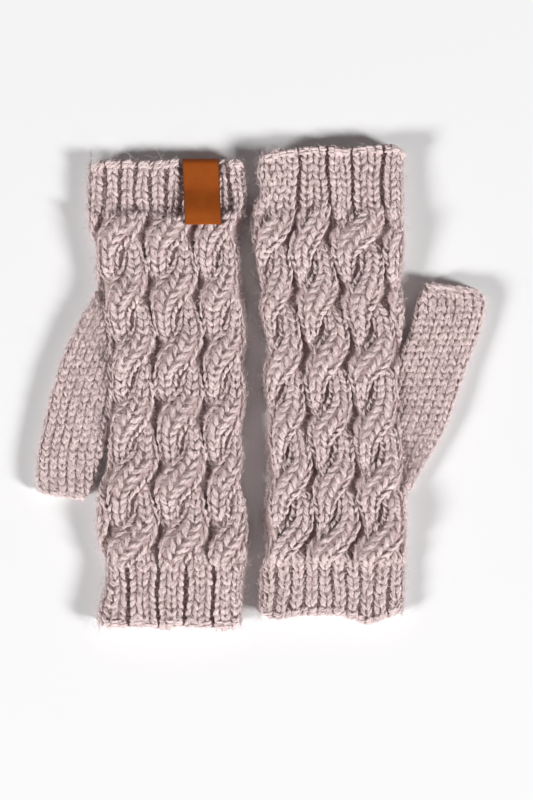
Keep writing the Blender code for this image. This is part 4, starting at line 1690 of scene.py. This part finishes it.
@dataclass
class Halo:
    """Loose hairs of wool that stand out of the knitting, in mm.

    Args:
        plan: The mitt.
        finishes: Its finishes.
        radius: Half a hair's thickness, and girths the least and the most of it, as shares.
        long_share: How many run and stand further than the rest, as a share.
        edge_share: How many of the hand's stand at its side edges, as a share.
        reach: The shape and the scale of the spread of its length, and its least length.
        rise: The shape and the scale of the spread of its height.
        label_clear: How far roots keep from the label, beside it and beyond its end.
    """

    plan: MittPlan
    finishes: Finishes
    body_hairs: int = 24000
    thumb_hairs: int = 5000
    radius: float = 0.062
    girths: tuple[float, float] = (0.7, 1.25)
    long_share: float = 0.10
    long_reach: float = 1.6
    long_rise: float = 3.6
    edge_share: float = 0.19
    edge_wrap: float = 0.03
    wrap: float = 0.07
    thumb_wrap: float = 0.08
    end_inset: float = 0.5
    thumb_start: float = 3.0
    bend: float = 0.9
    reach: tuple[float, float, float] = (3.0, 0.7, 1.0)
    rise: tuple[float, float] = (1.3, 0.45)
    root: float = -0.2
    arch: float = 0.45
    highest: float = 5.0
    label_clear: tuple[float, float] = (1.5, 2.5)

    def build(self, hand: Hand, thumb: Thumb) -> list[bpy.types.Object]:
        """Scatter the hairs.

        Args:
            hand: The hand they stand on.
            thumb: The thumb they stand on.

        Returns:
            The two pieces.
        """
        rng = np.random.default_rng(HALO_SEED + int(self.plan.turn))
        lay = hand.lay
        along = rng.uniform(self.end_inset, lay.length - self.end_inset, self.body_hairs)
        share = rng.uniform(-self.wrap, 1.0 + self.wrap, self.body_hairs)
        fringe = rng.random(self.body_hairs) < self.edge_share
        at_edge = np.round(share) * (1.0 + 2.0 * self.edge_wrap) - self.edge_wrap
        share = np.where(fringe, at_edge, share)
        outer = lay.outer_side(along)
        across = outer + share * (lay.thumb_side(along) - outer)
        free = self.beside_label(across, along)
        body = self.scatter(lay.on_relief, across[free], along[free], rng)
        last = thumb.travel[-1] - self.end_inset
        travel = rng.uniform(self.thumb_start, last, self.thumb_hairs)
        width = thumb.section(travel)[2]
        from_outer = rng.uniform(-self.thumb_wrap, 1.0, self.thumb_hairs) * width
        tips = self.scatter(thumb.upper, from_outer, travel, rng)
        return [
            body.knit("halo", self.plan, self.finishes.hair),
            tips.knit("thumb_halo", self.plan, self.finishes.hair),
        ]

    def beside_label(self, across: Array, along: Array) -> Array:
        """Which places lie well clear of the label."""
        aside, beyond = self.label_clear
        clear = beside_label(across - LABEL_LEAN * along, aside) | (along > LABEL_LEAF + beyond)
        return clear | (self.plan.notch == 0.0)

    def scatter(
        self, surface: Surface, across: Array, along: Array, rng: np.random.Generator
    ) -> YarnBatch:
        """Lay one hair at each place, each on a bent course of its own.

        Args:
            surface: The side of the cloth that they lie on.
            across: The places across.
            along: The places along.
            rng: The source of the differences between hairs.

        Returns:
            The batch of hairs.
        """
        batch = YarnBatch(Gauge.HAIR, rng)
        share = batch.stations
        count = len(across)
        turn = rng.uniform(0.0, 2.0 * pi, (count, 1))
        bend = rng.normal(0.0, self.bend, (count, 1))
        long = rng.random((count, 1)) < self.long_share
        spread, scale, least = self.reach
        reach = rng.gamma(spread, scale, (count, 1)) + least
        reach = reach * np.where(long, self.long_reach, 1.0) * share
        heading = turn + bend * share
        raised = rng.gamma(*self.rise, (count, 1)) * np.where(long, self.long_rise, 1.0)
        raised = np.minimum(raised, self.highest)
        lift = self.root + raised * np.sin(0.5 * pi * share) + self.arch * np.sin(pi * share)
        path = surface(
            across[:, None] + reach * np.cos(heading),
            along[:, None] + reach * np.sin(heading),
            lift,
        )
        outward = np.broadcast_to(np.array((0.0, 0.0, 1.0)), path.shape)
        girth = self.radius * rng.uniform(*self.girths, count)
        batch.lay(path, outward, girth, girth)
        return batch


@dataclass
class Label:
    """The leather label, a strip folded over the left mitt's wrist edge, its face left bare.

    Args:
        plan: The mitt that carries it.
        finish: The leather.
        clear: How far it stays off the knitting, in mm, and fold_clear its fold off the notch.
        climb: Where the front leaf starts to climb, and over how much of its length it does.
    """

    plan: MittPlan
    finish: bpy.types.Material
    across_steps: int = 24
    leaf_steps: int = 34
    fold_steps: int = 14
    clear: float = 0.35
    fold_clear: float = 0.6
    climb: tuple[float, float] = (0.35, 0.5)
    edge_round: float = 0.28
    edge_steps: int = 3

    def build(self, node: str) -> bpy.types.Object:
        """Fold the strip.

        Args:
            node: The solid it stands for, whose box gives the height of its face.

        Returns:
            The label.
        """
        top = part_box(node)[1][2] / MM - 0.5 * LEATHER
        path = self.path(top)
        mesh = bmesh.new()
        mark = mesh.verts.layers.float_vector.new("strip")
        grid = bmesh.ops.create_grid(
            mesh, x_segments=self.across_steps, y_segments=len(path) - 1, size=1.0
        )
        run = 0.0
        for index, vertex in enumerate(grid["verts"]):
            row, place = divmod(index, self.across_steps + 1)
            if place == 0 and row > 0:
                run += float(np.linalg.norm(path[row] - path[row - 1]))
            share = place / self.across_steps - 0.5
            along, height = path[row]
            across = LABEL_ACROSS + LABEL_LEAN * along + LABEL_WIDTH * share
            vertex.co = Vector(to_table(self.plan, np.array((across, along, height))))
            vertex[mark] = Vector((share * LABEL_WIDTH, run, 0.0))
        bmesh.ops.recalc_face_normals(mesh, faces=mesh.faces)
        label = place_piece("label_strip", keep_mesh(mesh, "label_strip"), self.finish)
        wall = label.modifiers.new("wall", "SOLIDIFY")
        wall.thickness = LEATHER * MM
        wall.offset = 0.0
        edge = label.modifiers.new("edge", "BEVEL")
        edge.width = self.edge_round * MM
        edge.segments = self.edge_steps
        edge.limit_method = "ANGLE"
        return label

    def path(self, top: float) -> Array:
        """The middle of the leather, from its end inside the wrist round the fold to its free end.

        Args:
            top: The height of the front leaf at its free end.

        Returns:
            A place along the mitt and a height at each step.
        """
        half = 0.5 * LEATHER
        inside = UNDER_WALL + self.clear + half
        rim = float(Lay(self.plan).wrist_rim(np.array(LABEL_ACROSS)))
        start = rim + self.plan.notch - self.fold_clear
        first = GUTTER_TOP + WRIST_RISE + self.clear + half
        radius = 0.5 * (first - inside)
        points = []
        for step in range(self.leaf_steps):
            points.append((start + LABEL_LEAF * (1.0 - step / self.leaf_steps), inside))
        for step in range(self.fold_steps + 1):
            angle = pi * step / self.fold_steps
            rise = radius * (1.0 - np.cos(angle))
            points.append((start - radius * np.sin(angle), inside + rise))
        for step in range(1, self.leaf_steps + 1):
            share = step / self.leaf_steps
            climbed = float(smooth(np.array((share - self.climb[0]) / self.climb[1])))
            points.append((start + (LABEL_LEAF - radius) * share, first + (top - first) * climbed))
        return np.array(points)


class Shader:
    """A material that is being wired up, with the sockets of a mix of colours."""

    mix_inputs = (0, 6, 7)
    mix_output = 2

    def __init__(self, name: str) -> None:
        """Start with a plain surface.

        Args:
            name: The material's name.
        """
        self.material = bpy.data.materials.new(name)
        self.material.use_nodes = True
        self.nodes = self.material.node_tree.nodes
        self.links = self.material.node_tree.links
        self.surface = self.nodes["Principled BSDF"]

    def add(self, kind: str, **inputs: object) -> bpy.types.Node:
        """Add a node and set or link its inputs, by their names with _ for a space."""
        node = self.nodes.new(kind)
        for key, value in inputs.items():
            self.feed(node.inputs[key.replace("_", " ")], value)
        return node

    def feed(self, socket: bpy.types.NodeSocket, value: object) -> None:
        """Link a socket to another, or set its value."""
        if isinstance(value, bpy.types.NodeSocket):
            self.links.new(value, socket)
        else:
            socket.default_value = value

    def attribute(self, name: str, output: str) -> bpy.types.NodeSocket:
        """Read one of the piece's own attributes."""
        node = self.nodes.new("ShaderNodeAttribute")
        node.attribute_name = name
        return node.outputs[output]

    def place(self) -> bpy.types.NodeSocket:
        """Read the place on the piece, in the object's own coordinates."""
        return self.add("ShaderNodeTexCoord").outputs["Object"]

    def parts(self, vector: bpy.types.NodeSocket) -> list[bpy.types.NodeSocket]:
        """Take a vector apart."""
        node = self.add("ShaderNodeSeparateXYZ", Vector=vector)
        return [node.outputs[axis] for axis in "XYZ"]

    def math(self, operation: str, *values: object) -> bpy.types.NodeSocket:
        """Work out a number from others."""
        node = self.nodes.new("ShaderNodeMath")
        node.operation = operation
        for socket, value in zip(node.inputs, values):
            self.feed(socket, value)
        return node.outputs[0]

    def line(self, value: object, gain: object, start: object) -> bpy.types.NodeSocket:
        """A gain times a value, from a start."""
        return self.math("MULTIPLY_ADD", value, gain, start)

    def about_zero(self, value: object, spread: float) -> bpy.types.NodeSocket:
        """Spread a value that runs from 0 to 1 evenly about 0."""
        return self.line(value, spread, -0.5 * spread)

    def blend(self, share: object, first: object, second: object) -> bpy.types.NodeSocket:
        """Mix two colours.

        Args:
            share: How much of the second one there is.
            first: The first colour.
            second: The second colour.

        Returns:
            The mixed colour.
        """
        node = self.nodes.new("ShaderNodeMix")
        node.data_type = "RGBA"
        node.clamp_factor = True
        for index, value in zip(self.mix_inputs, (share, first, second)):
            self.feed(node.inputs[index], value)
        return node.outputs[self.mix_output]

    def noise(self, place: bpy.types.NodeSocket, grain: Grain) -> bpy.types.NodeSocket:
        """Read a noise at a place."""
        node = self.add("ShaderNodeTexNoise", Vector=place, Scale=grain.scale, Detail=grain.detail)
        return node.outputs["Fac"]

    def bump(self, height: bpy.types.NodeSocket, distance: float, strength: float) -> None:
        """Roughen the surface by a height."""
        node = self.add("ShaderNodeBump", Height=height, Distance=distance, Strength=strength)
        self.feed(self.surface.inputs["Normal"], node.outputs["Normal"])

    def dress(self, **inputs: object) -> bpy.types.Material:
        """Set or link the surface's own inputs, and return the material."""
        for key, value in inputs.items():
            self.feed(self.surface.inputs[key.replace("_", " ")], value)
        return self.material


class Grain(NamedTuple):
    """How fine a noise is, and how much detail it has."""

    scale: float
    detail: float


@dataclass(frozen=True)
class WoolYarn:
    """Heathered wool, loosely plied, with a soft sheen.

    Shade is its own colour, and warm that of the other wool in it. Pale is partly the colour of
    paler fibres and partly painted highlight where fibres and the crests of the plies catch the
    light. Deep is painted shade between the fibres and in the grooves between the plies, and partly
    the colour of darker fibres. The four lights are how much a ply's crest, a fibre, a leg and a
    place differ from the rest: a ply's crest is painted lighter as highlight and its groove darker
    as shade, while fibres, legs and places differ at random. A ply's turn is in mm, and fibres are
    stretched along the yarn. Warmth and the shade's share are the gain and the start of the other
    wool's share and of the share of the deep colour. A bump here and below is a height, in metres,
    and a strength.
    """

    name: str = "wool yarn"
    shade: Colour = (0.84, 0.635, 0.625, 1.0)
    # Paler fibres, and painted highlight where fibres and ply crests catch the light.
    pale: Colour = (0.985, 0.845, 0.835, 1.0)
    warm: Colour = (0.85, 0.69, 0.635, 1.0)
    # Painted shade between fibres and plies, and the colour of darker fibres.
    deep: Colour = (0.52, 0.37, 0.36, 1.0)
    plies: float = 3.0
    ply_length: float = 7.0
    stretch: float = 0.30
    streak: Grain = Grain(3.2, 4.0)
    contrast: float = 3.4
    heather: Grain = Grain(420.0, 3.0)
    patch: Grain = Grain(60.0, 2.0)
    # How much a ply's crest is painted lighter, as highlight, and its groove darker, as shade.
    ply_light_and_shade: float = 0.35
    fibre_light: float = 0.65
    leg_light: float = 0.16
    patch_light: float = 0.5
    warmth: tuple[float, float] = (3.0, -1.2)
    # How the deep colour's share grows where the yarn is darkest: painted shade and darker fibres.
    dark_and_shade_share: tuple[float, float] = (-2.4, 0.62)
    ply_height: float = 0.6
    fibre_height: float = 0.5
    bump: tuple[float, float] = (0.00035, 0.75)

    def material(self) -> bpy.types.Material:
        """Wire the yarn: plies that twist round it, fine fibres along it, flecks of other wool."""
        shader = Shader(self.name)
        run, cosine, sine = shader.parts(shader.attribute("yarn", "Vector"))
        angle = shader.math("ARCTAN2", sine, cosine)
        wound = shader.math("ADD", angle, shader.math("MULTIPLY", run, 2.0 * pi / self.ply_length))
        ply = shader.math("SINE", shader.math("MULTIPLY", wound, self.plies))
        ply = shader.line(ply, 0.5, 0.5)
        twisted = shader.add(
            "ShaderNodeCombineXYZ",
            X=shader.math("MULTIPLY", run, self.stretch),
            Y=shader.math("COSINE", wound),
            Z=shader.math("SINE", wound),
        ).outputs[0]
        fibre = shader.math("SUBTRACT", shader.noise(twisted, self.streak), 0.5)
        fibre = shader.line(fibre, self.contrast, 0.5)
        spot = shader.place()
        patch = shader.about_zero(shader.noise(spot, self.patch), self.patch_light)
        tone = shader.about_zero(shader.attribute("tone", "Fac"), self.leg_light)
        # The yarn's lightness: fibres, legs and places differ at random. The plies add painted
        # highlight on their crests and painted shade in their grooves.
        light = shader.math("MULTIPLY", fibre, self.fibre_light)
        light = shader.line(ply, self.ply_light_and_shade, light)
        light = shader.math("ADD", shader.math("ADD", light, tone), patch)
        warmth = shader.line(shader.noise(spot, self.heather), *self.warmth)
        # Mix in the pale colour where the yarn is lightest: paler fibres, and painted highlight.
        colour = shader.blend(light, shader.blend(warmth, self.shade, self.warm), self.pale)
        # Mix in the deep colour where the yarn is darkest: painted shade between fibres and plies,
        # and darker fibres.
        colour = shader.blend(shader.line(light, *self.dark_and_shade_share), colour, self.deep)
        raised = shader.math("MULTIPLY", fibre, self.fibre_height)
        shader.bump(shader.line(ply, self.ply_height, raised), *self.bump)
        return shader.dress(
            Base_Color=colour,
            Roughness=0.85,
            Specular_IOR_Level=0.2,
            Sheen_Weight=0.25,
            Sheen_Roughness=0.45,
        )


@dataclass(frozen=True)
class Backing:
    """The cloth between the stitches, in their shade: the same wool, darker."""

    shade: Colour = (0.48, 0.345, 0.335, 1.0)
    lit: Colour = (0.72, 0.56, 0.55, 1.0)
    mottle: Grain = Grain(900.0, 3.0)
    bump: tuple[float, float] = (0.0006, 0.8)

    def material(self) -> bpy.types.Material:
        """Wire the cloth: a coarse mottle of yarn."""
        shader = Shader("wool backing")
        mottle = shader.noise(shader.place(), self.mottle)
        shader.bump(mottle, *self.bump)
        return shader.dress(
            Base_Color=shader.blend(mottle, self.shade, self.lit),
            Roughness=0.95,
            Specular_IOR_Level=0.1,
            Sheen_Weight=0.15,
        )


@dataclass(frozen=True)
class LooseHair:
    """A single loose hair of the same wool."""

    shade: Colour = (0.66, 0.51, 0.50, 1.0)
    pale: Colour = (0.97, 0.86, 0.85, 1.0)

    def material(self) -> bpy.types.Material:
        """Wire the hair: some darker, some lighter."""
        shader = Shader("loose wool")
        return shader.dress(
            Base_Color=shader.blend(shader.attribute("tone", "Fac"), self.shade, self.pale),
            Roughness=0.7,
            Specular_IOR_Level=0.25,
            Sheen_Weight=0.2,
        )


@dataclass(frozen=True)
class TanLeather:
    """Smooth tan leather with a fine grain, darker towards its two long edges.

    Edge_width is how far in the edge's colour reaches, in mm, and relief how high pores and creases
    stand, as a share of the bump. Rough is how much creases roughen it, and its least roughness.
    """

    tan: Colour = (0.40, 0.092, 0.005, 1.0)
    rich: Colour = (0.27, 0.052, 0.004, 1.0)
    edge: Colour = (0.09, 0.030, 0.012, 1.0)
    edge_width: float = 0.7
    edge_share: float = 0.85
    cloud: Grain = Grain(130.0, 3.0)
    crease: Grain = Grain(900.0, 4.0)
    pores: float = 2600.0
    relief: float = 0.6
    bump: tuple[float, float] = (0.00018, 0.7)
    rough: tuple[float, float] = (0.25, 0.46)

    def material(self) -> bpy.types.Material:
        """Wire the leather: cloudy colour, pores and dark edges."""
        shader = Shader("tan leather")
        across = shader.parts(shader.attribute("strip", "Vector"))[0]
        start = (self.edge_width - 0.5 * LABEL_WIDTH) / self.edge_width
        rim = shader.line(shader.math("ABSOLUTE", across), 1.0 / self.edge_width, start)
        rim = shader.math("MULTIPLY", shader.math("MAXIMUM", rim, 0.0), self.edge_share)
        spot = shader.place()
        colour = shader.blend(shader.noise(spot, self.cloud), self.rich, self.tan)
        pores = shader.add("ShaderNodeTexVoronoi", Vector=spot, Scale=self.pores)
        creases = shader.noise(spot, self.crease)
        raised = shader.math("MULTIPLY", creases, self.relief)
        shader.bump(shader.line(pores.outputs["Distance"], self.relief, raised), *self.bump)
        return shader.dress(
            Base_Color=shader.blend(rim, colour, self.edge),
            Roughness=shader.line(creases, *self.rough),
            Specular_IOR_Level=0.25,
        )


@dataclass(frozen=True)
class PaleFloor:
    """The plain pale floor, nearly one tone."""

    white: Colour = (0.93, 0.93, 0.935, 1.0)
    cloudy: Colour = (0.915, 0.913, 0.918, 1.0)
    cloud: Grain = Grain(3.0, 2.0)
    cloud_share: float = 0.3

    def material(self) -> bpy.types.Material:
        """Wire the floor."""
        shader = Shader("pale floor")
        cloud = shader.math("MULTIPLY", shader.noise(shader.place(), self.cloud), self.cloud_share)
        return shader.dress(
            Base_Color=shader.blend(cloud, self.white, self.cloudy),
            Roughness=0.9,
            Specular_IOR_Level=0.1,
        )


class Light(NamedTuple):
    """A soft light: where it stands from the middle of the pair, its size and its strength."""

    name: str
    x: float
    y: float
    z: float
    size: float
    watts: float


@dataclass
class Studio:
    """The floor, the lights and the camera.

    The view is the height of the picture on the table, aim its middle and object_height the
    height that it is measured at, in mm, as the lens and the sensor are. The floor, the clip and
    the lights are in metres, the lights' strength in watts.
    """

    view: float = 360.0
    aim: tuple[float, float] = (2.5, -5.85)
    lens: float = 85.0
    sensor: float = 36.0
    floor_side: float = 3.0
    object_height: float = 8.0
    clip: tuple[float, float] = (0.05, 10.0)
    air: Colour = (1.0, 0.93, 0.93, 1.0)
    ambient: float = 0.13
    lights: tuple[Light, ...] = (
        Light("key light", 4.4, -1.9, 2.4, 1.2, 308.0),
        Light("side light", -4.3, -2.1, 2.3, 1.3, 264.0),
    )

    def build(self) -> None:
        """Set up the floor, the lights, the world and the camera."""
        self.floor()
        for light in self.lights:
            self.light(light)
        world = bpy.data.worlds.new("studio air")
        world.use_nodes = True
        air = world.node_tree.nodes["Background"]
        air.inputs["Color"].default_value = self.air
        air.inputs["Strength"].default_value = self.ambient
        bpy.context.scene.world = world
        bpy.context.scene.view_settings.view_transform = "Standard"
        self.camera()

    def floor(self) -> None:
        """Lay the floor, its top at the height of the table."""
        mesh = bmesh.new()
        bmesh.ops.create_grid(mesh, x_segments=1, y_segments=1, size=0.5 * self.floor_side)
        data = keep_mesh(mesh, "floor")
        data.materials.append(PaleFloor().material())
        link("floor", data)

    def light(self, light: Light) -> None:
        """Hang one soft light that looks at the pair."""
        data = bpy.data.lights.new(light.name, "AREA")
        data.shape = "DISK"
        data.size = light.size
        data.energy = light.watts
        lamp = link(light.name, data)
        lamp.location = Vector((light.x, light.y, light.z))
        lamp.rotation_euler = (-lamp.location).to_track_quat("-Z", "Y").to_euler()

    def camera(self) -> None:
        """Set the camera straight above the pair."""
        data = bpy.data.cameras.new("camera")
        data.lens = self.lens
        data.sensor_width = self.sensor
        data.clip_start, data.clip_end = self.clip
        distance = self.view * self.lens / self.sensor
        camera = link("camera", data)
        camera.location = Vector((*self.aim, distance + self.object_height)) * MM
        bpy.context.scene.camera = camera


@dataclass
class Mitt:
    """One mitt with its thumb and its halo.

    Flat_width is that of the hand's tube, opened and laid flat, and thumb_flat the flat size of
    the thumb's, in metres, with its area in square metres. None of the three is used.
    """

    plan: MittPlan
    finishes: Finishes
    flat_width: float = 0.137
    thumb_flat: tuple[float, float] = (0.072, 0.092)
    thumb_area: float = 0.0040

    def build(self) -> None:
        hand = Hand(self.plan, self.finishes)
        thumb = Thumb(self.plan, self.finishes)
        body_cloth = hand.build()
        thumb_cloth = thumb.build()
        halo, thumb_halo = Halo(self.plan, self.finishes).build(hand, thumb)
        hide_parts(self.plan.name + "_body")
        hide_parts(self.plan.name + "_thumb")


def main() -> None:
    """Load the frame and dress it."""
    logging.basicConfig(level=logging.INFO, format="%(message)s")
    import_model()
    Studio().build()
    wool = WoolYarn().material()
    shaded = WoolYarn(
        name="shaded wool", shade=(0.60, 0.445, 0.435, 1.0), pale=(0.80, 0.66, 0.65, 1.0),
        warm=(0.63, 0.50, 0.46, 1.0), deep=(0.34, 0.235, 0.23, 1.0),
    ).material()
    finishes = Finishes(wool, shaded, Backing().material(), LooseHair().material())
    for plan in (LEFT_MITT, RIGHT_MITT):
        Mitt(plan, finishes).build()
    label = Label(LEFT_MITT, TanLeather().material()).build("leather_label")
    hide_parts("leather_label")


if __name__ == "__main__":
    main()
